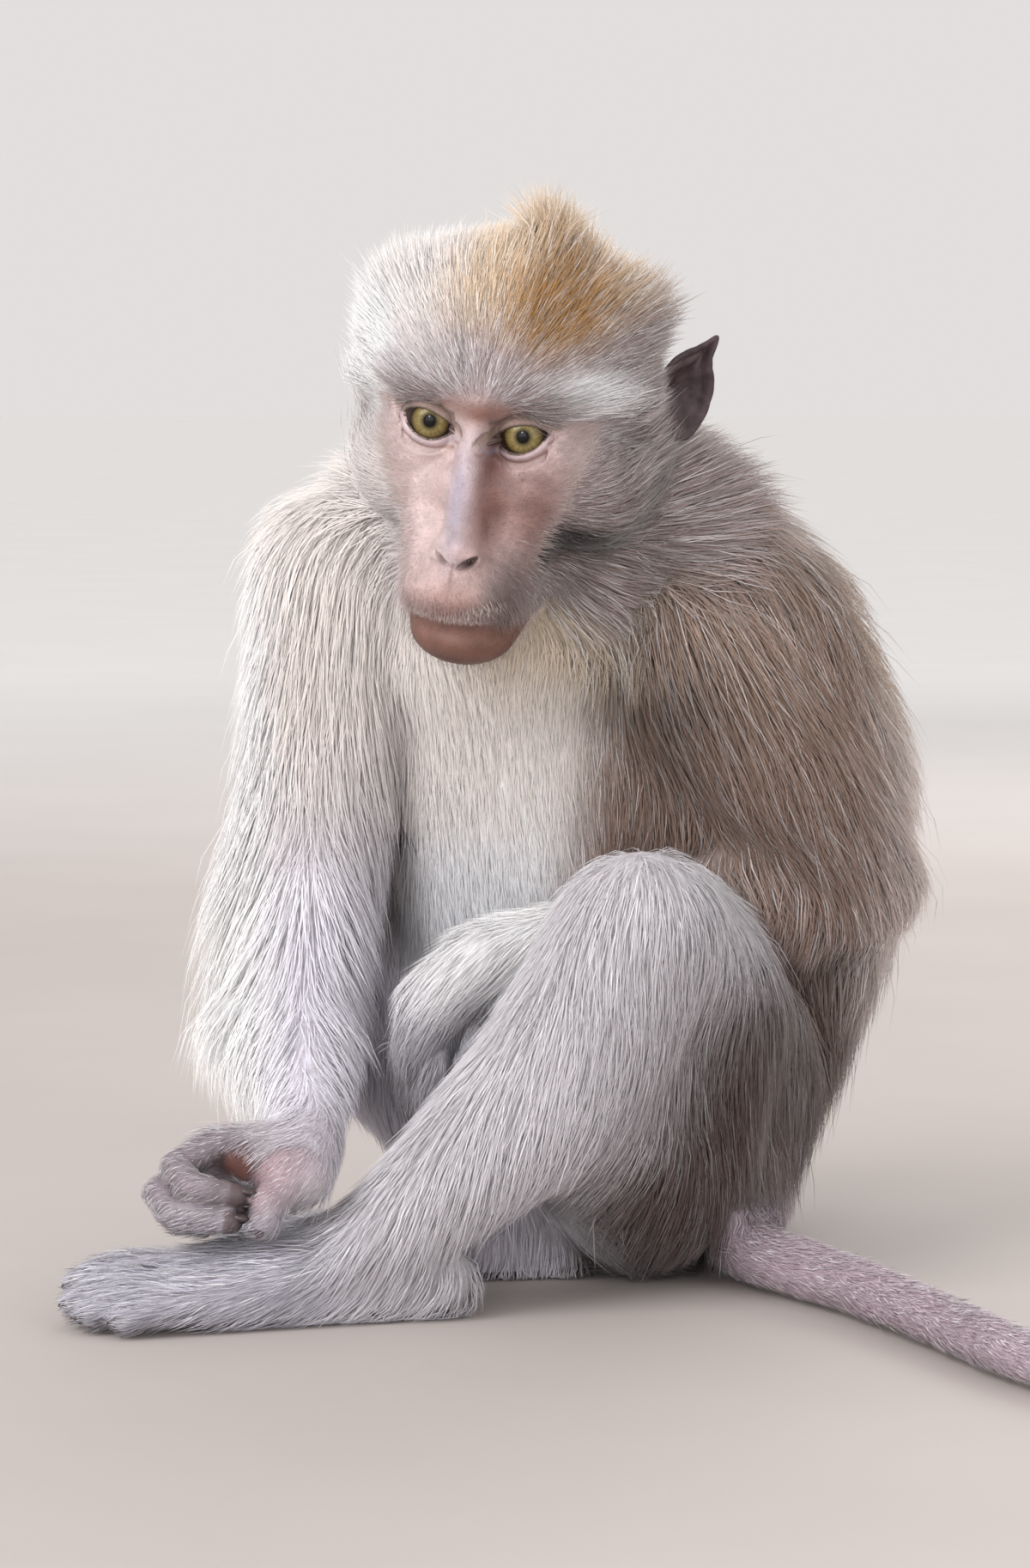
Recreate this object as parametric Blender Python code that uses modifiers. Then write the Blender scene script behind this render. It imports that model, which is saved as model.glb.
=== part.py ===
"""Long-tailed macaque, life size, sitting on the floor with its right hand on its left foot.

Metres. +Z is up, -Y is the side that the viewer faces, +X is the viewer's right.
The origin is the middle of the seat, where the animal's haunches rest on the floor.
Left and right in the names are the animal's own.
"""

import math

import bmesh
import bpy
from mathutils import Matrix, Vector
from mathutils.bvhtree import BVHTree

# The whole animal
GAP = 0.0003  # between two nodes that touch
LOCK_GAP = 0.0007  # between a lock and the nodes that it passes
FLOOR = 0.0
SINK = 0.0012  # how far a rounded form is let into the floor before it is cut level
SEAT_SINK = 0.0055  # the haunches press flatter on the floor than anything else
LEVEL = 0.0004  # what ends this near to the floor is set level with it
BODY_VOXEL = 0.0040
LIMB_VOXEL = 0.0020
FACE_VOXEL = 0.0015

# Torso: its yaw from facing the viewer, and its stations from seat to neck
TORSO_YAW = math.radians(30)
TRUNK_AXIS = Vector((-0.010, -0.020, 0))
SEAT = Vector((-0.010, 0.006, 0.030))
PELVIS = Vector((0.008, 0.026, 0.066))
LOIN = Vector((0.016, 0.010, 0.120))
BELLY = Vector((-0.045, -0.016, 0.118))
RIBS = Vector((0.008, -0.012, 0.172))
CHEST = Vector((-0.052, -0.046, 0.202))
WITHERS = Vector((-0.014, -0.034, 0.230))
NAPE = Vector((-0.046, -0.058, 0.268))
PELVIS_TOP = Vector((0.0, 0.0, 0.100))
NECK_BASE = Vector((-0.034, -0.054, 0.252))
NECK_LEAN = Vector((-0.30, -0.42, 0.86))

# Head: the point midway between the eyes, and how the face is turned from it
EYE_MID = Vector((-0.0728, -0.140, 0.2893))
HEAD_YAW = math.radians(15.5)
HEAD_PITCH = math.radians(17)
HEAD_ROLL = math.radians(7.5)
EYE_SIDE = 16.2  # from the face's middle line, in millimetres as all of the face is
EYE_FORWARD = -11.5
EYE_UP = -1.5
EYE_RADIUS = 0.0094
LID_WIDTH = 9.2
LID_HEIGHT = 5.6
MOUTH_SIDE = 18.5
BROW_LINE = [
    (-39, -29, 3, 0.0055),
    (-26, -14, 9, 0.0060),
    (-10, -7, 10.5, 0.0062),
    (10, -7, 10.5, 0.0062),
    (26, -14, 9, 0.0060),
    (39, -29, 3, 0.0055),
]
EAR_SIDE = 46.5
EAR_BACK = -70
EAR_UP = 0
EAR_HEIGHT = 0.0175
EAR_WIDTH = 0.0130
EAR_THICKNESS = 0.0022
EAR_DEPTH = 0.0062
EAR_RIM = 0.0015

# Arms
SHOULDER_LEFT = Vector((0.002, -0.070, 0.212))
ELBOW_LEFT = Vector((0.058, -0.036, 0.136))
WRIST_LEFT = Vector((-0.070, -0.098, 0.113))
SHOULDER_RIGHT = Vector((-0.121, -0.022, 0.237))
ELBOW_RIGHT = Vector((-0.135, -0.036, 0.104))
WRIST_RIGHT = Vector((-0.127, -0.142, 0.056))
SHOULDER_RADIUS = 0.038
ELBOW_RADIUS = 0.0255
WRIST_RADIUS = 0.0130
FINGER_RADIUS = 0.0052

# Legs
HIP_LEFT = Vector((0.006, 0.004, 0.062))
HAUNCH_LEFT = Vector((-0.016, -0.076, 0.041))
KNEE_LEFT = Vector((-0.018, -0.128, 0.126))
CALF_LEFT = Vector((-0.044, -0.130, 0.076))
ANKLE_LEFT = Vector((-0.102, -0.149, 0.028))
HIP_RIGHT = Vector((-0.030, 0.044, 0.060))
HAUNCH_RIGHT = Vector((-0.066, 0.030, 0.044))
KNEE_RIGHT = Vector((-0.114, 0.026, 0.116))
CALF_RIGHT = Vector((-0.096, -0.006, 0.070))
ANKLE_RIGHT = Vector((-0.062, -0.074, 0.028))
TOE_RADIUS = 0.0052

# Locks of the long coat: how far along each ring stands, its width and its thickness
LOCK_PROFILE = [(-0.10, 0.55, 0.8), (0.16, 0.96, 1.0), (0.50, 0.92, 0.9), (0.80, 0.46, 0.6)]
LOCK_ROOT = 0.0050
LOCK_FLATNESS = 0.105
ROUND = 0.050  # how tightly the surface under a row of locks curves along their lie
BROAD = 0.075
STRAIGHT = 0.60
SHARES = [0.72, 0.76, 0.80, 0.85, 0.90, 0.95]  # of a node's triangles that are kept, tried in turn

# Triangles of each fused body, before its nodes are parted and their locks added
TRUNK_FACES = 860
HEAD_FACES = 2100
LEFT_ARM_FACES = 800
RIGHT_ARM_FACES = 1000
LEFT_LEG_FACES = 950
RIGHT_LEG_FACES = 600
TAIL_FACES = 900

# Tail: its length lies on the floor in one loose curve
TAIL_ROOT_RADIUS = 0.0156
TAIL_TIP_RADIUS = 0.0075
TAIL_STEPS = 3
TAIL_ROUTE = [
    (0.034, 0.060, 0.044),
    (0.030, 0.030, 0.026),
    (0.026, -0.004, 0),
    (0.020, -0.050, 0),
    (0.020, -0.090, 0),
    (0.034, -0.116, 0),
    (0.054, -0.152, 0),
    (0.076, -0.206, 0),
    (0.102, -0.270, 0),
    (0.148, -0.318, 0),
    (0.208, -0.334, 0),
    (0.268, -0.318, 0),
]


def direction(yaw):
    """The horizontal unit vector that a body turned this far to the viewer's left faces."""
    return Vector((-math.sin(yaw), -math.cos(yaw), 0.0))


def head_axes():
    """The head's own left, back and up as the columns of a matrix."""
    forward = direction(HEAD_YAW)
    left = forward.cross(Vector((0, 0, -1)))
    up = Vector((0, 0, 1))
    down_tilt = Matrix.Rotation(HEAD_PITCH, 3, left)
    forward, up = down_tilt @ forward, down_tilt @ up
    lean = Matrix.Rotation(-HEAD_ROLL, 3, forward)
    left, up = lean @ left, lean @ up
    return Matrix((left, -forward, up)).transposed()


def torso_axes():
    """The torso's own left, back and up as the columns of a matrix."""
    forward = direction(TORSO_YAW)
    return Matrix((forward.cross(Vector((0, 0, -1))), -forward, Vector((0, 0, 1)))).transposed()


HEAD = head_axes()
TORSO = torso_axes()


def on_head(left, forward, up):
    """A point given in the head's own directions, in millimetres from between the eyes."""
    return EYE_MID + HEAD @ Vector((left, -forward, up)) / 1000


def on_trunk(left, back, height):
    """A point given in the torso's own directions from its upright axis, in metres."""
    return TRUNK_AXIS + TORSO @ Vector((left, back, height))


def along_head(left, back, up):
    return (HEAD @ Vector((left, back, up))).normalized()


def clear_scene():
    for obj in list(bpy.data.objects):
        bpy.data.objects.remove(obj, do_unlink=True)


def new_collection(name, shown=True):
    made = bpy.data.collections.new(name)
    bpy.context.scene.collection.children.link(made)
    made.hide_render = not shown
    return made


def new_material(name, colour, roughness):
    made = bpy.data.materials.new(name)
    made.use_nodes = True
    shader = made.node_tree.nodes["Principled BSDF"]
    shader.inputs["Base Color"].default_value = (*colour, 1)
    shader.inputs["Roughness"].default_value = roughness
    shader.inputs["Metallic"].default_value = 0.0
    return made


def ball(centre, radii, axes=None, steps=3):
    """An ellipsoid as a closed bmesh."""
    shape = bmesh.new()
    bmesh.ops.create_icosphere(shape, subdivisions=steps, radius=1)
    across = tuple(radii) if hasattr(radii, "__len__") else (radii,) * 3
    size = Matrix.Diagonal((*across, 1))
    turn = axes.to_4x4() if axes else Matrix.Identity(4)
    shape.transform(Matrix.Translation(centre) @ turn @ size)
    return shape


def merged(*shapes):
    """Several bmeshes as one mesh, which the remesher then fuses."""
    whole = bmesh.new()
    for shape in shapes:
        mesh = bpy.data.meshes.new("piece")
        shape.to_mesh(mesh)
        shape.free()
        whole.from_mesh(mesh)
        bpy.data.meshes.remove(mesh)
    return whole


def bridge(first, second):
    """The convex hull of two ellipsoids: a tapered, rounded limb between them."""
    both = merged(ball(*first), ball(*second))
    hull = bmesh.ops.convex_hull(both, input=both.verts)
    bmesh.ops.delete(both, geom=list({*hull["geom_interior"], *hull["geom_unused"]}), context="VERTS")
    return both


def chain(stations):
    """A limb through stations, each a centre and a radius or radii."""
    return [bridge(a, b) for a, b in zip(stations, stations[1:])]


def as_object(shape, name, home):
    mesh = bpy.data.meshes.new(name)
    shape.to_mesh(mesh)
    shape.free()
    obj = bpy.data.objects.new(name, mesh)
    home.objects.link(obj)
    return obj


def apply_modifiers(obj):
    """Replaces the object's mesh by what its modifiers make of it."""
    graph = bpy.context.evaluated_depsgraph_get()
    graph.update()
    mesh = bpy.data.meshes.new_from_object(obj.evaluated_get(graph))
    obj.modifiers.clear()
    old, obj.data = obj.data, mesh
    bpy.data.meshes.remove(old)
    return obj


def largest_body(obj):
    """Keeps only the object's largest closed surface."""
    shape = bmesh.new()
    shape.from_mesh(obj.data)
    unseen, bodies = set(shape.verts), []
    while unseen:
        front = [unseen.pop()]
        body = set(front)
        while front:
            near = {e.other_vert(v) for v in front for e in v.link_edges} & unseen
            unseen -= near
            body |= near
            front = list(near)
        bodies.append(body)
    if len(bodies) > 1:
        bodies.sort(key=lambda body: sum(f.calc_area() for v in body for f in v.link_faces))
        bmesh.ops.delete(shape, geom=[v for body in bodies[:-1] for v in body], context="VERTS")
    shape.to_mesh(obj.data)
    shape.free()


def fused(name, shapes, home, voxel, smoothing, triangles):
    """One smooth closed body from overlapping shapes, with about that many triangles."""
    obj = as_object(merged(*shapes), name, home)
    remesh = obj.modifiers.new("Fuse", "REMESH")
    remesh.mode = "VOXEL"
    remesh.voxel_size = voxel
    smooth = obj.modifiers.new("Soften", "SMOOTH")
    smooth.factor = 0.5
    smooth.iterations = smoothing
    apply_modifiers(obj)
    largest_body(obj)
    obj.modifiers.new("Triangles", "TRIANGULATE")
    apply_modifiers(obj)
    fewer = obj.modifiers.new("Fewer", "DECIMATE")
    fewer.ratio = min(1.0, triangles / len(obj.data.polygons))
    apply_modifiers(obj)
    largest_body(obj)
    return obj


def grown(obj, margin, home):
    """A copy of the object with its surface moved outwards, as a cutter."""
    cutter = bpy.data.objects.new(obj.name + "_clearance", obj.data.copy())
    home.objects.link(cutter)
    shape = bmesh.new()
    shape.from_mesh(cutter.data)
    shape.normal_update()
    moved = [(v, v.co + v.normal * margin) for v in shape.verts]
    for vert, place in moved:
        vert.co = place
    shape.to_mesh(cutter.data)
    shape.free()
    return cutter


def boolean(obj, other, operation):
    """Joins the other object to this one or cuts it away, and drops any loose scrap."""
    modifier = obj.modifiers.new(operation.title(), "BOOLEAN")
    modifier.operation = operation
    modifier.solver = "MANIFOLD"
    modifier.object = other
    apply_modifiers(obj)
    largest_body(obj)


def is_closed(mesh):
    shape = bmesh.new()
    shape.from_mesh(mesh)
    closed = all(edge.is_manifold for edge in shape.edges) and all(vert.is_manifold for vert in shape.verts)
    shape.free()
    return closed


def thinned(obj, others):
    """Merges the slivers that the cuts leave, with no change of shape to speak of.

    Where that would tear the surface or let it touch another node, fewer are merged."""
    rooms = [surface_tree(other) for other in others]
    for share in SHARES:
        trial = bpy.data.objects.new("trial", obj.data.copy())
        obj.users_collection[0].objects.link(trial)
        trial.modifiers.new("Slivers", "DECIMATE").ratio = share
        apply_modifiers(trial)
        largest_body(trial)
        tree = surface_tree(trial)
        mesh = trial.data
        bpy.data.objects.remove(trial)
        if is_closed(mesh) and not any(tree.overlap(room) for room in rooms):
            obj.data = mesh
            break
    for vertex in obj.data.vertices:
        if vertex.co.z < LEVEL:
            vertex.co.z = FLOOR


def surface_tree(obj):
    shape = bmesh.new()
    shape.from_mesh(obj.data)
    tree = BVHTree.FromBMesh(shape)
    shape.free()
    return tree


def clearances(neighbours, margin, cutters):
    """Each neighbour's cutter, grown by the margin, with the tree that tells what runs into it."""
    grown_ones = [grown(neighbour, margin, cutters) for neighbour in neighbours]
    return [(cutter, surface_tree(cutter)) for cutter in grown_ones]


def cleared(obj, rooms):
    """Cuts the object clear of each neighbour that it runs into, so that they meet face to face."""
    for cutter, tree in rooms:
        if surface_tree(obj).overlap(tree):
            boolean(obj, cutter, "DIFFERENCE")


def kept_side(obj, point, normal, name, home):
    """A copy of the part of the object on the far side of a plane, as a closed body."""
    shape = bmesh.new()
    shape.from_mesh(obj.data)
    cut = bmesh.ops.bisect_plane(
        shape,
        geom=shape.verts[:] + shape.edges[:] + shape.faces[:],
        plane_co=point,
        plane_no=normal,
        clear_inner=True,
        dist=1e-6,
    )
    rim = [e for e in cut["geom_cut"] if isinstance(e, bmesh.types.BMEdge) and e.is_valid]
    bmesh.ops.holes_fill(shape, edges=rim)
    bmesh.ops.triangulate(shape, faces=shape.faces[:])
    return as_object(shape, name, home)


def flattened(obj):
    """Cuts the object level with the floor, which leaves the small flat that it rests on."""
    lowest = min(v.co.z for v in obj.data.vertices)
    if lowest >= FLOOR:
        return
    shape = bmesh.new()
    shape.from_mesh(obj.data)
    cut = bmesh.ops.bisect_plane(
        shape,
        geom=shape.verts[:] + shape.edges[:] + shape.faces[:],
        plane_co=(0, 0, FLOOR),
        plane_no=(0, 0, 1),
        clear_inner=True,
        dist=1e-6,
    )
    rim = [e for e in cut["geom_cut"] if isinstance(e, bmesh.types.BMEdge) and e.is_valid]
    bmesh.ops.holes_fill(shape, edges=rim)
    bmesh.ops.triangulate(shape, faces=shape.faces[:])
    shape.to_mesh(obj.data)
    shape.free()


def parted(whole, cuts, names, home):
    """Divides a fused limb at planes, in order from its root, and returns the lengths.

    Each cut is a point and a direction towards the tip; a gap stays between two lengths."""
    lengths = []
    rest = whole
    for (point, towards_tip), name in zip(cuts, names):
        normal = Vector(towards_tip).normalized()
        lengths.append(kept_side(rest, point - normal * GAP / 2, -normal, name, home))
        farther = kept_side(rest, point + normal * GAP / 2, normal, "rest_of_limb", home)
        bpy.data.objects.remove(rest)
        rest = farther
    rest.name = names[-1]
    lengths.append(rest)
    for length in lengths:
        largest_body(length)
    return lengths


def torso_shapes():
    """The trunk, from the haunches on the floor up to the nape."""
    seat = (SEAT, (0.046, 0.042, 0.030 + SEAT_SINK), TORSO)
    pelvis = (PELVIS, (0.052, 0.050, 0.052), TORSO)
    loin = (LOIN, (0.062, 0.060, 0.054), TORSO)
    belly = (BELLY, (0.067, 0.050, 0.058), TORSO)
    ribs = (RIBS, (0.074, 0.064, 0.056), TORSO)
    chest = (CHEST, (0.060, 0.044, 0.048), TORSO)
    withers = (WITHERS, (0.072, 0.052, 0.040), TORSO)
    nape = (NAPE, (0.044, 0.040, 0.033), TORSO)
    blade_left = (SHOULDER_LEFT + Vector((0.002, 0.030, 0.006)), 0.034)
    blade_right = (SHOULDER_RIGHT + Vector((0.010, 0.000, 0.004)), 0.036)
    return [
        bridge(seat, pelvis),
        bridge(pelvis, loin),
        bridge(pelvis, belly),
        bridge(loin, ribs),
        bridge(belly, chest),
        bridge(ribs, withers),
        bridge(withers, nape),
        bridge(chest, nape),
        bridge(withers, blade_left),
        bridge(withers, blade_right),
        bridge(chest, blade_right),
        bridge(nape, blade_right),
        bridge(nape, blade_left),
    ]


def head_shapes():
    """The skull, brow, muzzle and jaws, the cheek ruff and the crest."""
    cranium = (on_head(0, -46, 8), (0.051, 0.054, 0.046), HEAD)
    jowl = (on_head(0, -42, -32), (0.046, 0.032, 0.026), HEAD)
    socket_left = (on_head(EYE_SIDE, EYE_FORWARD - 1, EYE_UP), (0.0125, 0.0118, 0.0125), HEAD)
    socket_right = (on_head(-EYE_SIDE, EYE_FORWARD - 1, EYE_UP), (0.0125, 0.0118, 0.0125), HEAD)
    cheek_left = (on_head(27, -24, -20), (0.018, 0.017, 0.021), HEAD)
    cheek_right = (on_head(-27, -24, -20), (0.018, 0.017, 0.021), HEAD)
    nose_root = (on_head(0, -7, 4), (0.0058, 0.008, 0.008), HEAD)
    nose_tip = (on_head(0.5, 13.5, -36.5), (0.0074, 0.0055, 0.0055), HEAD)
    muzzle_root = (on_head(0, -15, -30), (0.0270, 0.016, 0.017), HEAD)
    upper_jaw = (on_head(0, 8, -50.5), (0.0205, 0.0170, 0.0095), HEAD)
    lower_jaw = (on_head(0.5, 4, -65), (0.0180, 0.0155, 0.0112), HEAD)
    jaw_root = (on_head(0, -32, -48), (0.030, 0.020, 0.016), HEAD)
    shapes = [
        bridge(cranium, jowl),
        bridge(cranium, socket_left),
        bridge(cranium, socket_right),
        bridge(cheek_left, muzzle_root),
        bridge(cheek_right, muzzle_root),
        bridge(cheek_left, jowl),
        bridge(cheek_right, jowl),
        bridge(nose_root, nose_tip),
        bridge(nose_root, muzzle_root),
        bridge(muzzle_root, upper_jaw),
        bridge(nose_tip, upper_jaw),
        bridge(muzzle_root, lower_jaw),
        bridge(lower_jaw, jaw_root),
        bridge(jowl, jaw_root),
    ]
    for side in (1, -1):
        ruff_top = (on_head(side * 44, -50, -8), (0.010, 0.026, 0.020), HEAD)
        ruff_low = (on_head(side * 42, -42, -34), (0.012, 0.022, 0.018), HEAD)
        shapes.append(bridge(ruff_top, ruff_low))
        shapes.append(bridge(ruff_low, (on_head(side * 26, -36, -50), (0.012, 0.018, 0.012), HEAD)))
    shapes.append(bridge((on_head(2, -48, 40), (0.020, 0.024, 0.010), HEAD), (on_head(9, -44, 57), 0.005)))
    brow = []
    for across, forward, up, size in BROW_LINE:
        brow.append((on_head(across, forward, up), (0.008, 0.0075, size), HEAD))
    return shapes + chain(brow) + lip_shapes()


def mouth_curve(side):
    """A point along the line of the mouth, from one corner at -1 to the other at 1."""
    across = side * MOUTH_SIDE
    forward = 25.5 - 14.5 * abs(side) ** 2.4
    up = -57.0 - 1.4 * abs(side) ** 1.5
    return across, forward, up


def lip_shapes():
    """The two lips as rolled edges above and below the line of the mouth."""
    shapes = []
    stations = [-1, -0.8, -0.5, -0.2, 0.2, 0.5, 0.8, 1]
    for lift, size in ((2.2, 0.0024), (-2.6, 0.0028)):
        line = []
        for side in stations:
            across, forward, up = mouth_curve(side)
            line.append((on_head(across * 0.96, forward - 2.6, up + lift), size))
        shapes += chain(line)
    return shapes


def mouth_cutter(home):
    """The thin bent wedge that opens the line of the mouth."""
    line = []
    for side in (-1.04, -0.8, -0.55, -0.3, 0, 0.3, 0.55, 0.8, 1.04):
        across, forward, up = mouth_curve(side)
        line.append((on_head(across, forward, up), (0.0012, 0.0030, 0.00055), HEAD, 2))
    whole = as_object(merged(*chain(line)), "mouth_line", home)
    return united(whole)


def united(obj):
    """Overlapping closed shapes of one object as a single clean surface."""
    remesh = obj.modifiers.new("Fuse", "REMESH")
    remesh.mode = "VOXEL"
    remesh.voxel_size = 0.00045
    apply_modifiers(obj)
    obj.modifiers.new("Triangles", "TRIANGULATE")
    apply_modifiers(obj)
    fewer = obj.modifiers.new("Fewer", "DECIMATE")
    fewer.ratio = min(1.0, 260 / len(obj.data.polygons))
    return apply_modifiers(obj)


def lid_opening(side, home):
    """An almond-shaped prism that opens the lids over one eyeball."""
    steps = 9
    rim = []
    for step in range(2 * steps):
        turn = math.pi * step / steps
        across = math.cos(turn) * LID_WIDTH
        up = math.sin(turn)
        up = math.copysign(abs(up) ** 1.25, up) * (LID_HEIGHT if up > 0 else LID_HEIGHT * 0.92)
        slant = 0.10 * across
        rim.append((across, up + slant))
    shape = bmesh.new()
    for forward in (EYE_FORWARD + 3.2, EYE_FORWARD + 20):
        flare = 1.0 if forward < 0 else 1.35
        for across, up in rim:
            shape.verts.new(on_head(side * (EYE_SIDE + across * flare), forward, EYE_UP + up * flare))
    shape.verts.ensure_lookup_table()
    count = len(rim)
    order = 1 if side > 0 else -1
    inner = shape.verts[:count]
    outer = shape.verts[count:]
    shape.faces.new(inner[::order])
    shape.faces.new(outer[::-order])
    for i in range(count):
        j = (i + 1) % count
        shape.faces.new((inner[j], inner[i], outer[i], outer[j])[::order])
    bmesh.ops.recalc_face_normals(shape, faces=shape.faces[:])
    bmesh.ops.triangulate(shape, faces=shape.faces[:])
    return as_object(shape, "lid_opening", home)


def ear_shape(side):
    """One ear as a thin cup with a pointed tip, hollow towards the front and outwards."""
    shape = bmesh.new()
    rings, spokes = 4, 16
    outward = HEAD @ Vector((side * 0.68, 0.73, 0.05)).normalized()
    facing = HEAD @ Vector((side * 0.73, -0.68, 0.05)).normalized()
    upward = outward.cross(facing).normalized()
    if upward.dot(HEAD @ Vector((0, 0, 1))) < 0:
        upward = -upward
    root = on_head(side * EAR_SIDE, EAR_BACK, EAR_UP)
    middle = root + outward * EAR_WIDTH * 0.55
    sheets = []
    for face in (1, -1):
        rows = []
        for ring in range(rings + 1):
            reach = ring / rings
            row = []
            for spoke in range(spokes):
                turn = 2 * math.pi * spoke / spokes
                tip = 1 + 0.36 * max(0.0, math.sin(turn + 0.55)) ** 9
                wide = math.cos(turn) * EAR_WIDTH * tip * reach
                high = math.sin(turn) * EAR_HEIGHT * tip * reach
                rim = EAR_RIM * max(0.0, reach - 0.8) * 5 * math.sin(turn) ** 2
                hollow = rim - EAR_DEPTH * (1 - reach**2)
                thick = face * EAR_THICKNESS / 2 * (1.0 if ring < rings else 0.62)
                place = middle + outward * wide + upward * high + facing * (hollow + thick)
                row.append(place)
                if ring == 0:
                    break
            rows.append([shape.verts.new(place) for place in row])
        sheets.append(rows)
    for rows, face in zip(sheets, (1, -1)):
        hub = rows[0][0]
        for spoke in range(spokes):
            after = (spoke + 1) % spokes
            shape.faces.new((hub, rows[1][spoke], rows[1][after])[::face])
            for ring in range(1, rings):
                quad = (rows[ring][spoke], rows[ring + 1][spoke], rows[ring + 1][after], rows[ring][after])
                shape.faces.new(quad[::face])
    front, back = sheets[0][-1], sheets[1][-1]
    for spoke in range(spokes):
        after = (spoke + 1) % spokes
        shape.faces.new((front[after], front[spoke], back[spoke], back[after]))
    bmesh.ops.recalc_face_normals(shape, faces=shape.faces[:])
    bmesh.ops.triangulate(shape, faces=shape.faces[:])
    return shape


def arm_shapes(shoulder, elbow, wrist, inward):
    """One arm down to its wrist, widest at the shoulder and again below the elbow."""
    upper = shoulder.lerp(elbow, 0.5)
    bulk = elbow.lerp(wrist, 0.28)
    lower = elbow.lerp(wrist, 0.72)
    return chain(
        [
            (shoulder + inward * 0.006, SHOULDER_RADIUS),
            (upper, 0.030),
            (elbow, ELBOW_RADIUS),
            (bulk, 0.0260),
            (lower, 0.0190),
            (wrist, WRIST_RADIUS),
        ]
    )


def digit(points, radius, taper=0.82):
    """A finger or toe through its joints, a little thinner at each."""
    return chain([(Vector(p), radius * taper ** (i * 0.5)) for i, p in enumerate(points)])


def right_hand_shapes():
    """A loose fist: the fingers curl back under the thumb, whose tip points down."""
    palm = (Vector((-0.146, -0.142, 0.052)), (0.013, 0.011, 0.011))
    knuckles_high = (Vector((-0.158, -0.144, 0.0545)), 0.0072)
    knuckles_low = (Vector((-0.157, -0.140, 0.040)), 0.0072)
    thenar = (Vector((-0.133, -0.160, 0.0500)), (0.0105, 0.0085, 0.0095))
    shapes = [
        bridge((WRIST_RIGHT, WRIST_RADIUS), palm),
        bridge(palm, knuckles_high),
        bridge(palm, knuckles_low),
        bridge(palm, thenar),
        bridge((WRIST_RIGHT, WRIST_RADIUS), thenar),
    ]
    fingers = (
        ((-0.157, -0.147, 0.057), (-0.170, -0.158, 0.052), (-0.164, -0.170, 0.047), (-0.150, -0.171, 0.044)),
        ((-0.160, -0.144, 0.050), (-0.176, -0.155, 0.043), (-0.170, -0.169, 0.0385), (-0.152, -0.172, 0.0355)),
        ((-0.159, -0.140, 0.043), (-0.173, -0.148, 0.037), (-0.168, -0.160, 0.0345), (-0.152, -0.163, 0.034)),
        ((-0.155, -0.135, 0.039), (-0.165, -0.139, 0.036), (-0.162, -0.148, 0.0345), (-0.150, -0.152, 0.035)),
    )
    for finger in fingers:
        shapes += digit(finger, FINGER_RADIUS)
    shapes += digit(((-0.132, -0.163, 0.0490), (-0.139, -0.170, 0.0420), (-0.1400, -0.171, 0.0345)), 0.0062)
    return shapes


def left_hand_shapes():
    """The hand bent down from its wrist, its fingers curled behind the shin."""
    palm = (Vector((-0.086, -0.096, 0.098)), (0.012, 0.011, 0.012))
    knuckles = (Vector((-0.091, -0.090, 0.082)), (0.010, 0.012, 0.008))
    shapes = [bridge((WRIST_LEFT, WRIST_RADIUS), palm), bridge(palm, knuckles)]
    for spread in (-0.0135, -0.0045, 0.0045, 0.0135):
        base = Vector((-0.091 - spread * 0.5, -0.090 + spread * 0.8, 0.080))
        middle = base + Vector((0.001, 0.004, -0.017))
        tip = middle + Vector((0.010, 0.004, -0.010))
        shapes += digit((base, middle, tip), FINGER_RADIUS)
    shapes += digit(((-0.080, -0.100, 0.100), (-0.077, -0.093, 0.086), (-0.080, -0.086, 0.078)), 0.0058)
    return shapes


def leg_shapes(hip, haunch, knee, calf, ankle):
    """One folded leg: the thigh, the mass under it that reaches the floor, and the shin."""
    thigh = hip.lerp(knee, 0.55)
    shank = calf.lerp(ankle, 0.55)
    low = haunch.z + SINK
    return [
        bridge((hip, 0.049), (thigh, 0.044)),
        bridge((thigh, 0.044), (knee, 0.031)),
        bridge((hip, 0.049), (haunch, low)),
        bridge((haunch, low), (thigh, 0.044)),
        bridge((haunch, low), (calf, 0.034)),
        bridge((thigh, 0.044), (calf, 0.034)),
        bridge((knee, 0.031), (calf, 0.034)),
        bridge((calf, 0.034), (shank, 0.026)),
        bridge((shank, 0.026), (ankle, 0.0175)),
    ]


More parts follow.
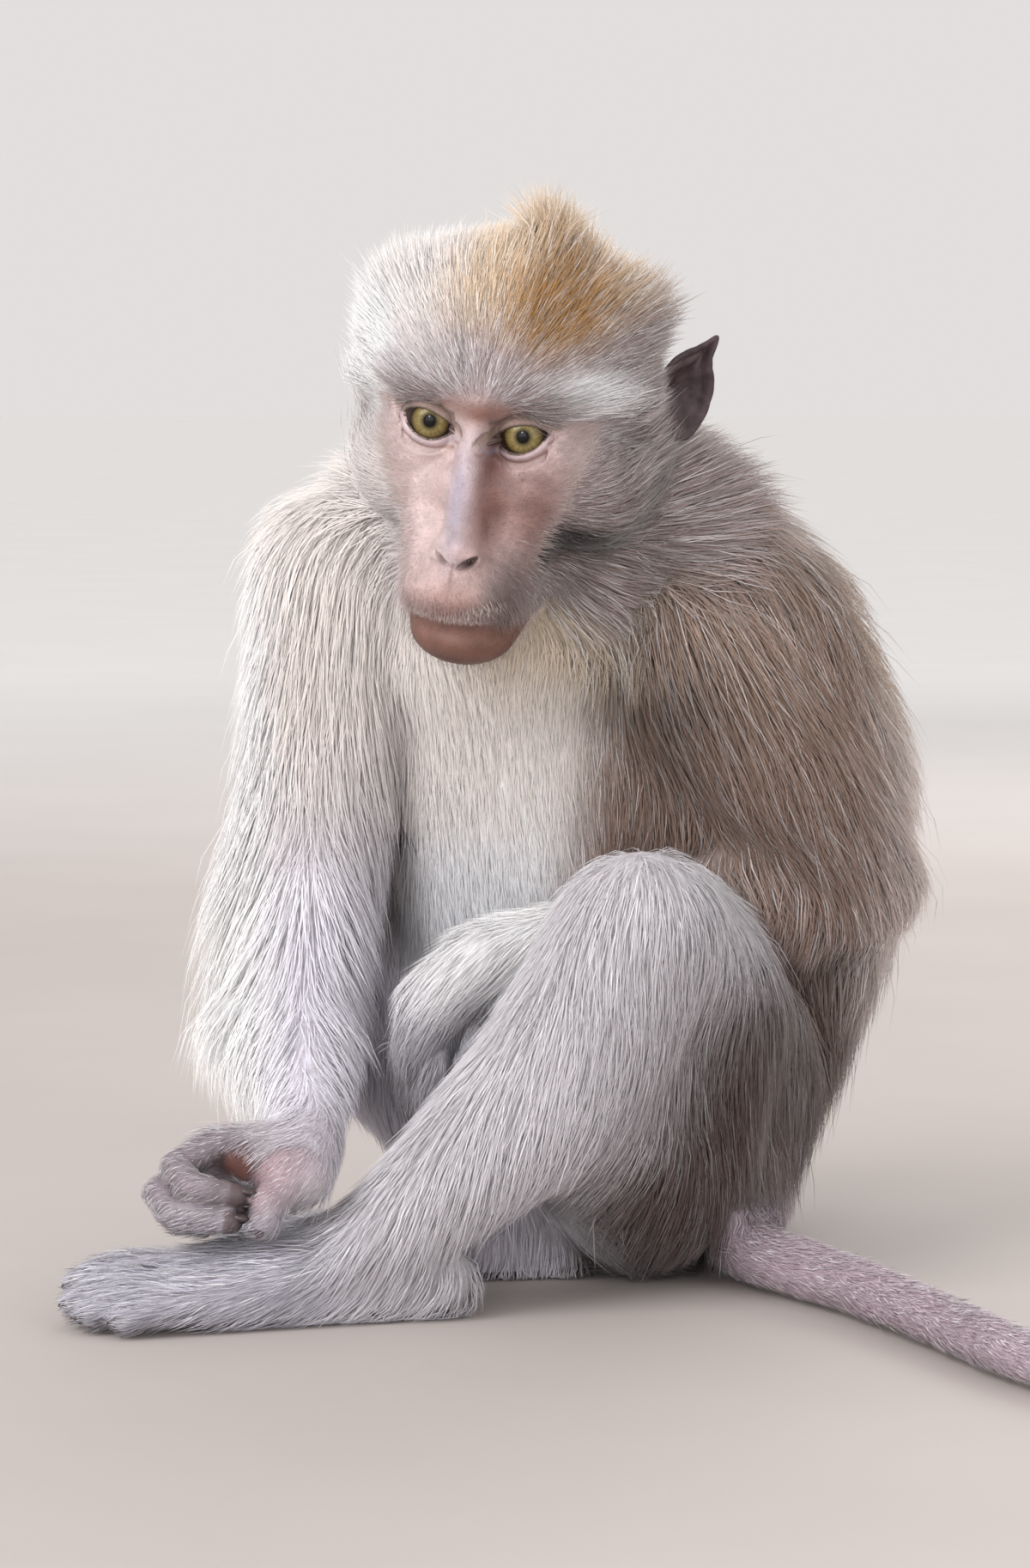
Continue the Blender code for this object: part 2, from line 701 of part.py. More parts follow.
def foot_shapes(ankle, along, across, length):
    """One foot flat on the floor: heel, sole, four long toes and the great toe apart from them.

    The across direction points to the great toe's side."""
    def place(forward, sideways, up):
        flat = Vector((ankle.x, ankle.y, 0)) + (along * forward + across * sideways) * length
        return Vector((flat.x, flat.y, up))

    heel = (place(-0.14, 0.0, 0.0120), (0.0130, 0.0110, 0.0120 + SINK))
    instep = (place(0.16, 0.0, 0.0190), (0.0150, 0.0130, 0.0130))
    sole = (place(0.22, 0.0, 0.0100), (0.0150, 0.0130, 0.0100 + SINK))
    ball_near = (place(0.52, -0.085, 0.0095), (0.0120, 0.0080, 0.0095 + SINK))
    ball_far = (place(0.52, 0.085, 0.0125), (0.0120, 0.0085, 0.0115))
    shapes = [
        bridge((ankle, 0.0175), heel),
        bridge((ankle, 0.0175), instep),
        bridge(heel, sole),
        bridge(sole, instep),
        bridge(instep, ball_near),
        bridge(instep, ball_far),
        bridge(sole, ball_near),
        bridge(sole, ball_far),
        bridge(ball_near, ball_far),
    ]
    toes = (
        (-0.130, 0.56, 0.70, 0.80, 0.0100, 0.0060),
        (-0.048, 0.58, 0.76, 0.88, 0.0120, 0.0062),
        (0.034, 0.59, 0.78, 0.91, 0.0140, 0.0085),
        (0.112, 0.57, 0.76, 0.89, 0.0180, 0.0130),
    )
    for sideways, base, middle, tip, rise, end in toes:
        joints = (place(base, sideways * 0.9, rise), place(middle, sideways, rise), place(tip, sideways, end))
        shapes += digit(joints, TOE_RADIUS)
    great = (place(0.30, 0.13, 0.0120), place(0.46, 0.24, 0.0120), place(0.60, 0.27, 0.0090))
    shapes += digit(great, 0.0068)
    return shapes


def curved(points, steps):
    """Points of a smooth curve through the given ones, with so many steps to each stretch."""
    points = [Vector(point) for point in points]
    ends = [points[0] * 2 - points[1], *points, points[-1] * 2 - points[-2]]
    line = []
    for a, b, c, d in zip(ends, ends[1:], ends[2:], ends[3:]):
        for step in range(steps):
            t = step / steps
            turn = a - b * 2.5 + c * 2 - d / 2
            twist = (b * 3 - a - c * 3 + d) / 2
            line.append(b + (c - a) / 2 * t + turn * t**2 + twist * t**3)
    return line + points[-1:]


def tail_shapes():
    line = []
    route = curved(TAIL_ROUTE, TAIL_STEPS)
    for step, point in enumerate(route):
        radius = TAIL_ROOT_RADIUS + (TAIL_TIP_RADIUS - TAIL_ROOT_RADIUS) * step / (len(route) - 1)
        line.append((Vector((point.x, point.y, max(point.z, radius - SINK))), radius))
    return chain(line)


def lock(root, flow, outward, size, hug):
    """One flat tapered lock of coat, rooted under the skin and bending over along its lie."""
    length, width, rise = size
    across = flow.cross(outward).normalized()

    def spine(reach):
        along = max(0.0, reach)
        lift = (LOCK_ROOT + rise) * (1 - (1 - along) ** 2) - LOCK_ROOT - hug * along**2
        return root + flow * length * reach + outward * lift

    shape = bmesh.new()
    rings = []
    for reach, spread, thick in LOCK_PROFILE:
        side = across * width / 2 * spread
        top = outward * width * LOCK_FLATNESS * thick
        rings.append([shape.verts.new(spine(reach) + offset) for offset in (side, top, -side, -top)])
    tip = shape.verts.new(spine(1.0))
    shape.faces.new(rings[0])
    for near, far in zip(rings, rings[1:]):
        for i in range(4):
            j = (i + 1) % 4
            shape.faces.new((near[i], near[j], far[j], far[i]))
    for i in range(4):
        shape.faces.new((rings[-1][i], rings[-1][(i + 1) % 4], tip))
    bmesh.ops.recalc_face_normals(shape, faces=shape.faces[:])
    bmesh.ops.triangulate(shape, faces=shape.faces[:])
    return shape


def combed(node, others, cutters, row):
    """Sets one row of locks on a node, each cut clear of the other nodes near it.

    A row runs from its start to its end, pushed outwards midway by its bulge. The
    lie is given at both ends, or as one point that all its locks lean towards.
    A lock that still touches another node is left out."""
    skin = surface_tree(node)
    rooms = clearances(others, LOCK_GAP, cutters)
    neighbours = [surface_tree(other) for other in others]
    count = row["count"]
    for step in range(count):
        share = (step + 0.5) / count
        place = row["start"].lerp(row["end"], share) + row.get("bulge", Vector()) * 4 * share * (1 - share)
        root, outward, _, _ = skin.find_nearest(place)
        if "towards" in row:
            flow = (row["towards"] - root).normalized()
        else:
            flow = row["lie"][0].lerp(row["lie"][1], share).normalized()
        flow = (flow - outward * flow.dot(outward) * row.get("cling", 0.85)).normalized()
        outward = outward - flow * outward.dot(flow)
        if outward.length < 0.3:
            outward = flow.orthogonal()
        wave = math.sin(2.4 * step + row["start"].x * 900)
        length = row["size"][0] * (1 + 0.13 * wave)
        width = row["size"][1] * (1 - 0.10 * wave)
        size = (length, width, row["size"][2])
        shape = lock(root, flow, outward.normalized(), size, length**2 / 2 / row.get("curve", STRAIGHT))
        piece = as_object(shape, "lock", cutters)
        cleared(piece, rooms)
        tree = surface_tree(piece)
        if not any(tree.overlap(neighbour) for neighbour in neighbours):
            boolean(node, piece, "UNION")


def row(start, end, count, size, **more):
    """One row of locks, whose size is the length, width and rise of each."""
    return dict(start=Vector(start), end=Vector(end), count=count, size=size, **more)


def head_rows():
    """The crest, the tufts at the temples and the ruff below the ears."""
    crest = on_head(13, -40, 75)
    crest_lock = (0.026, 0.014, 0.004)
    crown_lock = (0.026, 0.016, 0.007)
    temple_lock = (0.030, 0.015, 0.007)
    ruff_lock = (0.038, 0.016, 0.007)
    rows = [
        row(on_head(-25, -32, 46), on_head(29, -34, 44), 4, crest_lock, towards=crest, cling=0.3),
        row(on_head(-22, -60, 46), on_head(29, -60, 44), 3, crest_lock, towards=crest, cling=0.3),
        row(on_head(2, -36, 53), on_head(14, -50, 53), 3, (0.022, 0.012, 0.001), towards=crest, cling=0.0),
    ]
    nape = (along_head(0.1, 0.55, -0.8), along_head(-0.1, 0.55, -0.8))
    nape_lock = (0.036, 0.022, 0.008)
    rows.append(row(on_head(34, -86, 22), on_head(-34, -86, 22), 4, nape_lock, lie=nape, curve=ROUND))
    for side in (1, -1):
        temple = (along_head(side * 0.7, 0.5, 0.5), along_head(side * 0.6, 0.7, 0.4))
        brow_end = (along_head(side * 0.6, 0.75, 0.2), along_head(side * 0.6, 0.8, 0.1))
        cheek = (along_head(side * 0.75, 0.55, -0.35), along_head(side * 0.45, 0.4, -0.8))
        hang = HEAD @ Vector((side * 0.008, 0, -0.004))
        cheek_row = dict(lie=cheek, bulge=hang, cling=0.6)
        crown = (along_head(side * 0.5, 0.7, 0.5), along_head(side * 0.35, 0.8, 0.45))

        def place(outwards, forward, up, side=side):
            return on_head(side * outwards, forward, up)

        rows += [
            row(place(33, -14, 34), place(22, -50, 52), 3, crown_lock, lie=crown, cling=0.95),
            row(place(40, -20, 24), place(46, -62, 30), 3, temple_lock, lie=temple, cling=0.9),
            row(place(46, -28, 6), place(50, -52, 12), 2, temple_lock, lie=brow_end, cling=0.8),
            row(place(44, -24, -8), place(20, -18, -56), 5, ruff_lock, **cheek_row),
            row(place(48, -44, -6), place(26, -36, -58), 5, ruff_lock, **cheek_row),
        ]
    return rows


def trunk_rows():
    """The mantle, the long coat of the back and flanks and the bib, each by its node's name."""
    down = (Vector((0, 0, -1)), Vector((0, 0, -1)))
    behind = TORSO @ Vector((0, 0.072, 0))
    mantle_lock, back_lock, bib_lock = (0.044, 0.025, 0.014), (0.050, 0.028, 0.014), (0.040, 0.021, 0.007)
    mantle = row((0.006, -0.072, 0.264), (-0.104, -0.050, 0.286), 6, mantle_lock, lie=down)
    mantle.update(bulge=Vector((0.03, 0.05, 0.01)), curve=ROUND)
    over = (Vector((-0.9, 0.1, 0.0)), Vector((-0.5, 0.2, -0.6)))
    shoulder = row((-0.092, -0.070, 0.262), (-0.100, -0.020, 0.276), 3, mantle_lock, lie=over, curve=ROUND)
    rows = [("neck", mantle), ("neck", shoulder)]
    for height, count in ((0.232, 6), (0.196, 6), (0.158, 6)):
        start, end = on_trunk(0.072, -0.030, height), on_trunk(-0.072, 0.004, height)
        rows.append(("torso", row(start, end, count, back_lock, lie=down, bulge=behind, curve=BROAD)))
    start, end = on_trunk(0.060, -0.010, 0.086), on_trunk(-0.020, 0.050, 0.086)
    rump_lock = (0.042, 0.024, 0.006)
    rows.append(("pelvis", row(start, end, 5, rump_lock, lie=down, bulge=behind * 0.6, curve=BROAD)))
    for height in (0.214, 0.182):
        start, end = (-0.100, -0.085, height), (-0.026, -0.110, height)
        rows.append(("torso", row(start, end, 4, bib_lock, lie=down, curve=BROAD)))
    return rows


def limb_rows():
    """The long coat of the arms, of the left thigh and of the shin's front, by node."""
    left_lie = ((ELBOW_LEFT - SHOULDER_LEFT).normalized(),) * 2
    fall = (Vector((-0.05, 0.05, -1)).normalized(),) * 2
    outer = (Vector((-0.2, 0.15, -1)).normalized(),) * 2
    shin = ((ANKLE_LEFT - KNEE_LEFT).normalized(),) * 2
    arm_lock, fringe_lock, thigh_lock = (0.042, 0.022, 0.008), (0.036, 0.018, 0.006), (0.046, 0.022, 0.005)
    over_thigh = dict(lie=fall, bulge=Vector((0, -0.02, 0)))
    ankle_lock = (0.034, 0.014, 0.004)
    return [
        ("upper_arm_left", row((0.010, -0.108, 0.216), (0.046, -0.074, 0.166), 3, arm_lock, lie=left_lie)),
        ("upper_arm_left", row((0.032, -0.080, 0.224), (0.076, -0.054, 0.166), 3, arm_lock, lie=left_lie)),
        ("upper_arm_right", row((-0.152, -0.040, 0.262), (-0.160, -0.045, 0.130), 4, arm_lock, lie=fall)),
        ("upper_arm_right", row((-0.134, -0.062, 0.236), (-0.140, -0.072, 0.150), 3, arm_lock, lie=fall)),
        ("upper_arm_right", row((-0.142, 0.012, 0.236), (-0.150, 0.000, 0.140), 3, arm_lock, lie=fall)),
        ("forearm_right", row((-0.162, -0.050, 0.100), (-0.145, -0.122, 0.066), 6, fringe_lock, lie=outer)),
        ("thigh_left", row((0.042, -0.060, 0.052), (-0.044, -0.118, 0.052), 5, thigh_lock, **over_thigh)),
        ("thigh_left", row((0.042, -0.055, 0.092), (-0.010, -0.120, 0.100), 4, thigh_lock, **over_thigh)),
        ("shin_left", row((-0.050, -0.152, 0.134), (-0.106, -0.168, 0.052), 5, fringe_lock, lie=shin)),
        ("shin_left", row((-0.090, -0.172, 0.034), (-0.050, -0.168, 0.044), 4, ankle_lock, lie=fall)),
    ]


def bend(before, joint, after):
    """The plane that halves the angle of a joint, as its point and its normal to the tip."""
    return joint, (joint - before).normalized() + (after - joint).normalized()


def dressed(obj, material):
    """Gives a node its material and smooth shading."""
    obj.data.materials.clear()
    obj.data.materials.append(material)
    for face in obj.data.polygons:
        face.use_smooth = True


def main():
    clear_scene()
    animal = new_collection("Macaque")
    cutters = new_collection("Cutters", shown=False)

    trunk = fused("trunk", torso_shapes(), animal, BODY_VOXEL, 10, TRUNK_FACES)
    pelvis, torso, neck = parted(
        trunk,
        [(PELVIS_TOP, (0, 0, 1)), (NECK_BASE, NECK_LEAN)],
        ["pelvis", "torso", "neck"],
        animal,
    )

    head = fused("head", head_shapes(), animal, FACE_VOXEL, 5, HEAD_FACES)
    eyes = []
    ears = []
    for side, name in ((1, "left"), (-1, "right")):
        socket = on_head(side * EYE_SIDE, EYE_FORWARD, EYE_UP)
        eye = as_object(ball(socket, EYE_RADIUS, None, 2), "eye_" + name, animal)
        boolean(head, lid_opening(side, cutters), "DIFFERENCE")
        eyes.append(eye)
        nostril = ball(on_head(side * 3.6, 17.5, -39.5), (0.0011, 0.0030, 0.0021), HEAD, 2)
        boolean(head, as_object(nostril, "nostril", cutters), "DIFFERENCE")
        ears.append(as_object(ear_shape(side), "ear_" + name, animal))
    boolean(head, mouth_cutter(cutters), "DIFFERENCE")
    arm = arm_shapes(SHOULDER_LEFT, ELBOW_LEFT, WRIST_LEFT, (WITHERS - SHOULDER_LEFT).normalized())
    left_arm = parted(
        fused("arm", arm + left_hand_shapes(), animal, LIMB_VOXEL, 5, LEFT_ARM_FACES),
        [
            bend(SHOULDER_LEFT, ELBOW_LEFT, WRIST_LEFT),
            bend(ELBOW_LEFT, WRIST_LEFT, Vector((-0.088, -0.094, 0.092))),
        ],
        ["upper_arm_left", "forearm_left", "hand_left"],
        animal,
    )
    arm = arm_shapes(SHOULDER_RIGHT, ELBOW_RIGHT, WRIST_RIGHT, (WITHERS - SHOULDER_RIGHT).normalized())
    right_arm = parted(
        fused("arm", arm + right_hand_shapes(), animal, LIMB_VOXEL, 5, RIGHT_ARM_FACES),
        [
            bend(SHOULDER_RIGHT, ELBOW_RIGHT, WRIST_RIGHT),
            (WRIST_RIGHT, (WRIST_RIGHT - ELBOW_RIGHT) + Vector((-0.05, 0, 0))),
        ],
        ["upper_arm_right", "forearm_right", "hand_right"],
        animal,
    )

    left_leg = leg_shapes(HIP_LEFT, HAUNCH_LEFT, KNEE_LEFT, CALF_LEFT, ANKLE_LEFT)
    left_foot = foot_shapes(ANKLE_LEFT, Vector((-0.975, -0.22, 0)), Vector((-0.22, 0.975, 0)), 0.116)
    left_leg = parted(
        fused("leg", left_leg + left_foot, animal, LIMB_VOXEL, 5, LEFT_LEG_FACES),
        [
            (KNEE_LEFT + Vector((-0.008, -0.008, 0)), (-0.60, -0.78, -0.02)),
            (ANKLE_LEFT + Vector((0.002, 0, 0.007)), (-0.55, -0.10, -0.83)),
        ],
        ["thigh_left", "shin_left", "foot_left"],
        animal,
    )
    right_leg = leg_shapes(HIP_RIGHT, HAUNCH_RIGHT, KNEE_RIGHT, CALF_RIGHT, ANKLE_RIGHT)
    right_foot = foot_shapes(ANKLE_RIGHT, Vector((-0.995, -0.10, 0)), Vector((0.10, -0.995, 0)), 0.114)
    right_leg = parted(
        fused("leg", right_leg + right_foot, animal, LIMB_VOXEL, 5, RIGHT_LEG_FACES),
        [
            bend(HIP_RIGHT, KNEE_RIGHT, ANKLE_RIGHT),
            (ANKLE_RIGHT + Vector((0.000, 0.002, 0.008)), (0.12, -0.40, -0.90)),
        ],
        ["thigh_right", "shin_right", "foot_right"],
        animal,
    )

    tail = parted(
        fused("tail", tail_shapes(), animal, LIMB_VOXEL, 4, TAIL_FACES),
        [
            (Vector(TAIL_ROUTE[5]), Vector(TAIL_ROUTE[6]) - Vector(TAIL_ROUTE[4])),
            (Vector(TAIL_ROUTE[8]), Vector(TAIL_ROUTE[9]) - Vector(TAIL_ROUTE[7])),
        ],
        ["tail_root", "tail_middle", "tail_end"],
        animal,
    )

    groups = [eyes, [head], tail, [pelvis, torso, neck], left_arm, right_arm, left_leg, right_leg, ears]
    earlier = []
    for group in groups:
        for node in group:
            flattened(node)
            cleared(node, clearances(earlier, GAP, cutters))
        earlier += group

    named = {node.name: node for node in earlier}
    rows = [("head", one) for one in head_rows()] + trunk_rows() + limb_rows()
    for name, one in rows:
        others = [node for node in earlier if node.name != name]
        combed(named[name], others, cutters, one)
    for node in earlier:
        flattened(node)
        if node not in eyes + ears:
            thinned(node, [other for other in earlier if other is not node])

    grey_coat = new_material("grey_coat", (0.36, 0.32, 0.33), 0.9)
    head_coat = new_material("head_coat", (0.56, 0.33, 0.29), 0.6)
    back_coat = new_material("back_coat", (0.42, 0.32, 0.22), 0.9)
    eye_shine = new_material("iris", (0.16, 0.13, 0.05), 0.1)
    dark_skin = new_material("ear_skin", (0.13, 0.10, 0.12), 0.7)
    for node in left_arm + right_arm + left_leg + right_leg + tail:
        dressed(node, grey_coat)
    for node in (torso, neck, pelvis):
        dressed(node, back_coat)
    dressed(head, head_coat)
    for eye in eyes:
        dressed(eye, eye_shine)
    for ear in ears:
        dressed(ear, dark_skin)


main()
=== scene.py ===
import math
from collections import namedtuple

import bmesh
import bpy
import numpy as np
from mathutils import Matrix, Vector
from mathutils.bvhtree import BVHTree


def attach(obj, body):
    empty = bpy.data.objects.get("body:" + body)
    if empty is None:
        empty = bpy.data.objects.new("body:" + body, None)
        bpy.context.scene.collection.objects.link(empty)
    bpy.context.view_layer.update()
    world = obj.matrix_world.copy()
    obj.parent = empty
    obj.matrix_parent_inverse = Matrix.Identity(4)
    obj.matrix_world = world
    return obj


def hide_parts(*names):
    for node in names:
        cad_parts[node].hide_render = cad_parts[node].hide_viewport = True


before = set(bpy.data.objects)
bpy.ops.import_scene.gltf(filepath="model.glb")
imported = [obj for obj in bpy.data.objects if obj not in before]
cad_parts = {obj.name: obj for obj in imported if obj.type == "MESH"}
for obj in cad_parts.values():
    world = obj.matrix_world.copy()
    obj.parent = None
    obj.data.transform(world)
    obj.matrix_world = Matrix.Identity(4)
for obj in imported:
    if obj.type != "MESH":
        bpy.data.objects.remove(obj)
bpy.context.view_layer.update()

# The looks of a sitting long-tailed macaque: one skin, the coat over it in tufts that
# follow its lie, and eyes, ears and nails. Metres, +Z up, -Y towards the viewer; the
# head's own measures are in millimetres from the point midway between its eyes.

SEED = 7
BODY_VOXEL = 0.0040
HEAD_VOXEL = 0.0016
DIGIT_VOXEL = 0.0011
FLOOR_LIFT = 0.0004  # nothing of the animal is lower than this

# Depth of the coat, by which the skin lies inside the solids
TRUNK_COAT = 0.0085
ARM_COAT = 0.0060
THIGH_COAT = 0.0065
SHIN_COAT = 0.0040
TAIL_COAT = 0.0022

# Places on the body, as the solids have them
TORSO_YAW = math.radians(30)
TRUNK_AXIS = Vector((-0.010, -0.020, 0))
SEAT = Vector((-0.010, 0.006, 0.030))
PELVIS = Vector((0.008, 0.026, 0.066))
LOIN = Vector((0.016, 0.010, 0.120))
BELLY = Vector((-0.045, -0.016, 0.118))
RIBS = Vector((0.008, -0.012, 0.172))
CHEST = Vector((-0.052, -0.046, 0.202))
WITHERS = Vector((-0.014, -0.034, 0.230))
NAPE = Vector((-0.046, -0.058, 0.268))
EYE_MID = Vector((-0.0728, -0.140, 0.2893))
HEAD_YAW = math.radians(15.5)
HEAD_PITCH = math.radians(17)
HEAD_ROLL = math.radians(7.5)
SHOULDER_LEFT = Vector((0.002, -0.070, 0.212))
ELBOW_LEFT = Vector((0.058, -0.036, 0.136))
WRIST_LEFT = Vector((-0.070, -0.098, 0.113))
SHOULDER_RIGHT = Vector((-0.121, -0.022, 0.237))
ELBOW_RIGHT = Vector((-0.135, -0.036, 0.104))
WRIST_RIGHT = Vector((-0.127, -0.142, 0.056))
HIP_LEFT = Vector((0.006, 0.004, 0.062))
HAUNCH_LEFT = Vector((-0.016, -0.076, 0.041))
KNEE_LEFT = Vector((-0.018, -0.128, 0.126))
CALF_LEFT = Vector((-0.044, -0.130, 0.076))
ANKLE_LEFT = Vector((-0.102, -0.149, 0.028))
HIP_RIGHT = Vector((-0.030, 0.044, 0.060))
HAUNCH_RIGHT = Vector((-0.066, 0.030, 0.044))
KNEE_RIGHT = Vector((-0.114, 0.026, 0.116))
CALF_RIGHT = Vector((-0.096, -0.006, 0.070))
ANKLE_RIGHT = Vector((-0.062, -0.074, 0.028))
FEET = {  # ankle, way to the toes, way to the great toe's side, and length
    "left": (ANKLE_LEFT, Vector((-0.975, -0.22, 0)), Vector((-0.22, 0.975, 0)), 0.116),
    "right": (ANKLE_RIGHT, Vector((-0.995, -0.10, 0)), Vector((0.10, -0.995, 0)), 0.114),
}
TAIL_ROUTE = [
    (0.034, 0.060, 0.044),
    (0.030, 0.030, 0.026),
    (0.026, -0.004, 0),
    (0.020, -0.050, 0),
    (0.020, -0.090, 0),
    (0.034, -0.116, 0),
    (0.054, -0.152, 0),
    (0.076, -0.206, 0),
    (0.102, -0.270, 0),
    (0.148, -0.318, 0),
    (0.208, -0.334, 0),
    (0.268, -0.318, 0),
]
TAIL_ROOT_RADIUS = 0.0156
TAIL_TIP_RADIUS = 0.0075

# Face, in the head's millimetres
EYE_PLACES = {1: (14.0, -11.5, -2.4), -1: (-17.5, -11.5, -1.1)}
EYE_RADIUS = 9.4
LID_WIDTHS = {1: 9.5, -1: 9.3}
LID_HEIGHT = 5.2
MOUTH_SIDE = 18.5
EAR_SIDE = 46.5
EAR_BACK = -70
EAR_UP = -3
EAR_WIDTH = 13.0
EAR_DEPTH = 6.0
FACE_BACK = -30  # the face is shaped in front of this
CORNEA_RISE = 0.055
CORNEA_EDGE = 0.66

SIDES_NAMED = {1: "left", -1: "right"}
FLESH_NODES = ["head", "neck", "torso", "pelvis", "tail_root", "tail_middle", "tail_end"]
for half in SIDES_NAMED.values():
    FLESH_NODES += [limb + "_" + half for limb in ("upper_arm", "forearm", "hand", "thigh", "shin", "foot")]


# Directions

def facing(yaw):
    return Vector((-math.sin(yaw), -math.cos(yaw), 0.0))


def head_axes():
    """The head's own left, back and up as the columns of a matrix."""
    forward = facing(HEAD_YAW)
    left = forward.cross(Vector((0, 0, -1)))
    tilt = Matrix.Rotation(HEAD_PITCH, 3, left)
    forward, up = tilt @ forward, tilt @ Vector((0, 0, 1))
    lean = Matrix.Rotation(-HEAD_ROLL, 3, forward)
    return Matrix((lean @ left, -forward, lean @ up)).transposed()


def torso_axes():
    forward = facing(TORSO_YAW)
    return Matrix((forward.cross(Vector((0, 0, -1))), -forward, Vector((0, 0, 1)))).transposed()


HEAD = head_axes()
TORSO = torso_axes()
HEAD_ROWS = np.array(HEAD)
TORSO_ROWS = np.array(TORSO)


def on_head(left, forward, up):
    return EYE_MID + HEAD @ Vector((left, -forward, up)) / 1000


def to_head(points):
    """World points in the head's left, forward and up, in millimetres."""
    local = (points - np.array(EYE_MID)) @ HEAD_ROWS * 1000
    return local * (1, -1, 1)


def from_head(local):
    return (local * (1, -1, 1) / 1000) @ HEAD_ROWS.T + np.array(EYE_MID)


def head_way(vectors):
    """Directions given as the head's left, forward and up, turned to the world's axes."""
    return (vectors * (1, -1, 1)) @ HEAD_ROWS.T


def step_up(value, low, high):
    """0 below the first bound, 1 above the second and smooth between them."""
    share = np.clip((value - low) / (high - low), 0, 1)
    return share * share * (3 - 2 * share)


def unit(vectors):
    return vectors / np.maximum(np.linalg.norm(vectors, axis=-1, keepdims=True), 1e-9)


def tone(red, green, blue):
    """A colour given as display values from 0 to 255, as linear values."""
    value = np.array((red, green, blue)) / 255
    return np.where(value <= 0.04045, value / 12.92, ((value + 0.055) / 1.055) ** 2.4)


# Flesh: hulls of pairs of ellipsoids, fused

def ball(centre, radii, axes=None):
    shape = bmesh.new()
    bmesh.ops.create_icosphere(shape, subdivisions=3, radius=1)
    radii = radii if hasattr(radii, "__len__") else (radii,) * 3
    turn = axes.to_4x4() if axes else Matrix.Identity(4)
    shape.transform(Matrix.Translation(centre) @ turn @ Matrix.Diagonal((*radii, 1)))
    return shape


def merged(shapes):
    whole = bmesh.new()
    for shape in shapes:
        mesh = bpy.data.meshes.new("piece")
        shape.to_mesh(mesh)
        shape.free()
        whole.from_mesh(mesh)
        bpy.data.meshes.remove(mesh)
    return whole


def bridge(first, second):
    """The convex hull of two ellipsoids: a tapered, rounded limb between them."""
    both = merged([ball(*first), ball(*second)])
    hull = bmesh.ops.convex_hull(both, input=both.verts)
    bmesh.ops.delete(both, geom=list({*hull["geom_interior"], *hull["geom_unused"]}), context="VERTS")
    return both


def bridges(pairs, depth=0.0):
    """The hulls of pairs of ellipsoids, drawn in by the depth of the coat."""
    return [bridge(slimmer(a, depth), slimmer(b, depth)) for a, b in pairs]


def chain(stations, depth=0.0):
    return bridges(zip(stations, stations[1:]), depth)


def slimmer(station, depth):
    """The same station with its surface drawn in by the depth of the coat."""
    centre, radii, *axes = station
    if hasattr(radii, "__len__"):
        return (centre, tuple(r - depth for r in radii), *axes)
    return (centre, radii - depth, *axes)


def linked(forms, pairs, depth=0.0):
    """The hulls of named forms, for pairs given as text such as "seat pelvis, pelvis loin"."""
    return bridges([[forms[name] for name in pair.split()] for pair in pairs.split(", ")], depth)


def placed(name, data):
    obj = bpy.data.objects.new(name, data)
    bpy.context.scene.collection.objects.link(obj)
    return obj


def as_object(shape, name):
    mesh = bpy.data.meshes.new(name)
    shape.to_mesh(mesh)
    shape.free()
    return placed(name, mesh)


def apply_modifiers(obj):
    graph = bpy.context.evaluated_depsgraph_get()
    graph.update()
    mesh = bpy.data.meshes.new_from_object(obj.evaluated_get(graph))
    obj.modifiers.clear()
    old, obj.data = obj.data, mesh
    bpy.data.meshes.remove(old)


def soften(obj, passes):
    smooth = obj.modifiers.new("Soften", "SMOOTH")
    smooth.factor = 0.5
    smooth.iterations = passes
    apply_modifiers(obj)


def fused(name, shapes, voxel, passes):
    obj = as_object(merged(shapes), name)
    remesh = obj.modifiers.new("Fuse", "REMESH")
    remesh.mode = "VOXEL"
    remesh.voxel_size = voxel
    soften(obj, passes)
    return obj


def joined(obj, other):
    """Joins the other closed body to this one."""
    union = obj.modifiers.new("Join", "BOOLEAN")
    union.operation = "UNION"
    union.solver = "MANIFOLD"
    union.object = other
    apply_modifiers(obj)
    bpy.data.objects.remove(other)


def trunk_shapes():
    forms = {
        "seat": (SEAT, (0.046, 0.042, 0.034), TORSO),
        "pelvis": (PELVIS, (0.052, 0.050, 0.052), TORSO),
        "loin": (LOIN, (0.062, 0.060, 0.054), TORSO),
        "belly": (BELLY, (0.067, 0.050, 0.058), TORSO),
        "ribs": (RIBS, (0.074, 0.064, 0.056), TORSO),
        "chest": (CHEST, (0.060, 0.044, 0.048), TORSO),
        "withers": (WITHERS, (0.072, 0.052, 0.040), TORSO),
        "nape": (NAPE, (0.044, 0.040, 0.033), TORSO),
        "left": (SHOULDER_LEFT + Vector((0.002, 0.030, 0.006)), 0.034),
        "right": (SHOULDER_RIGHT + Vector((0.010, 0.000, 0.004)), 0.036),
        "throat": (on_head(0, -44, -34), 0.036),
    }
    pairs = (
        "seat pelvis, pelvis loin, pelvis belly, loin ribs, belly chest, ribs withers, withers nape, "
        "chest nape, withers left, withers right, chest right, nape right, nape left, nape throat, "
        "chest throat"
    )
    return linked(forms, pairs, TRUNK_COAT)


def arm_shapes(shoulder, elbow, wrist):
    inward = (WITHERS - shoulder).normalized()
    stations = [
        (shoulder + inward * 0.006, 0.038),
        (shoulder.lerp(elbow, 0.5), 0.030),
        (elbow, 0.0255),
        (elbow.lerp(wrist, 0.28), 0.0250),
        (elbow.lerp(wrist, 0.72), 0.0175),
        (wrist, 0.0160),
    ]
    crook = bridge((shoulder.lerp(elbow, 0.62), 0.016), (elbow.lerp(wrist, 0.42), 0.013))
    return chain(stations, ARM_COAT) + [crook]


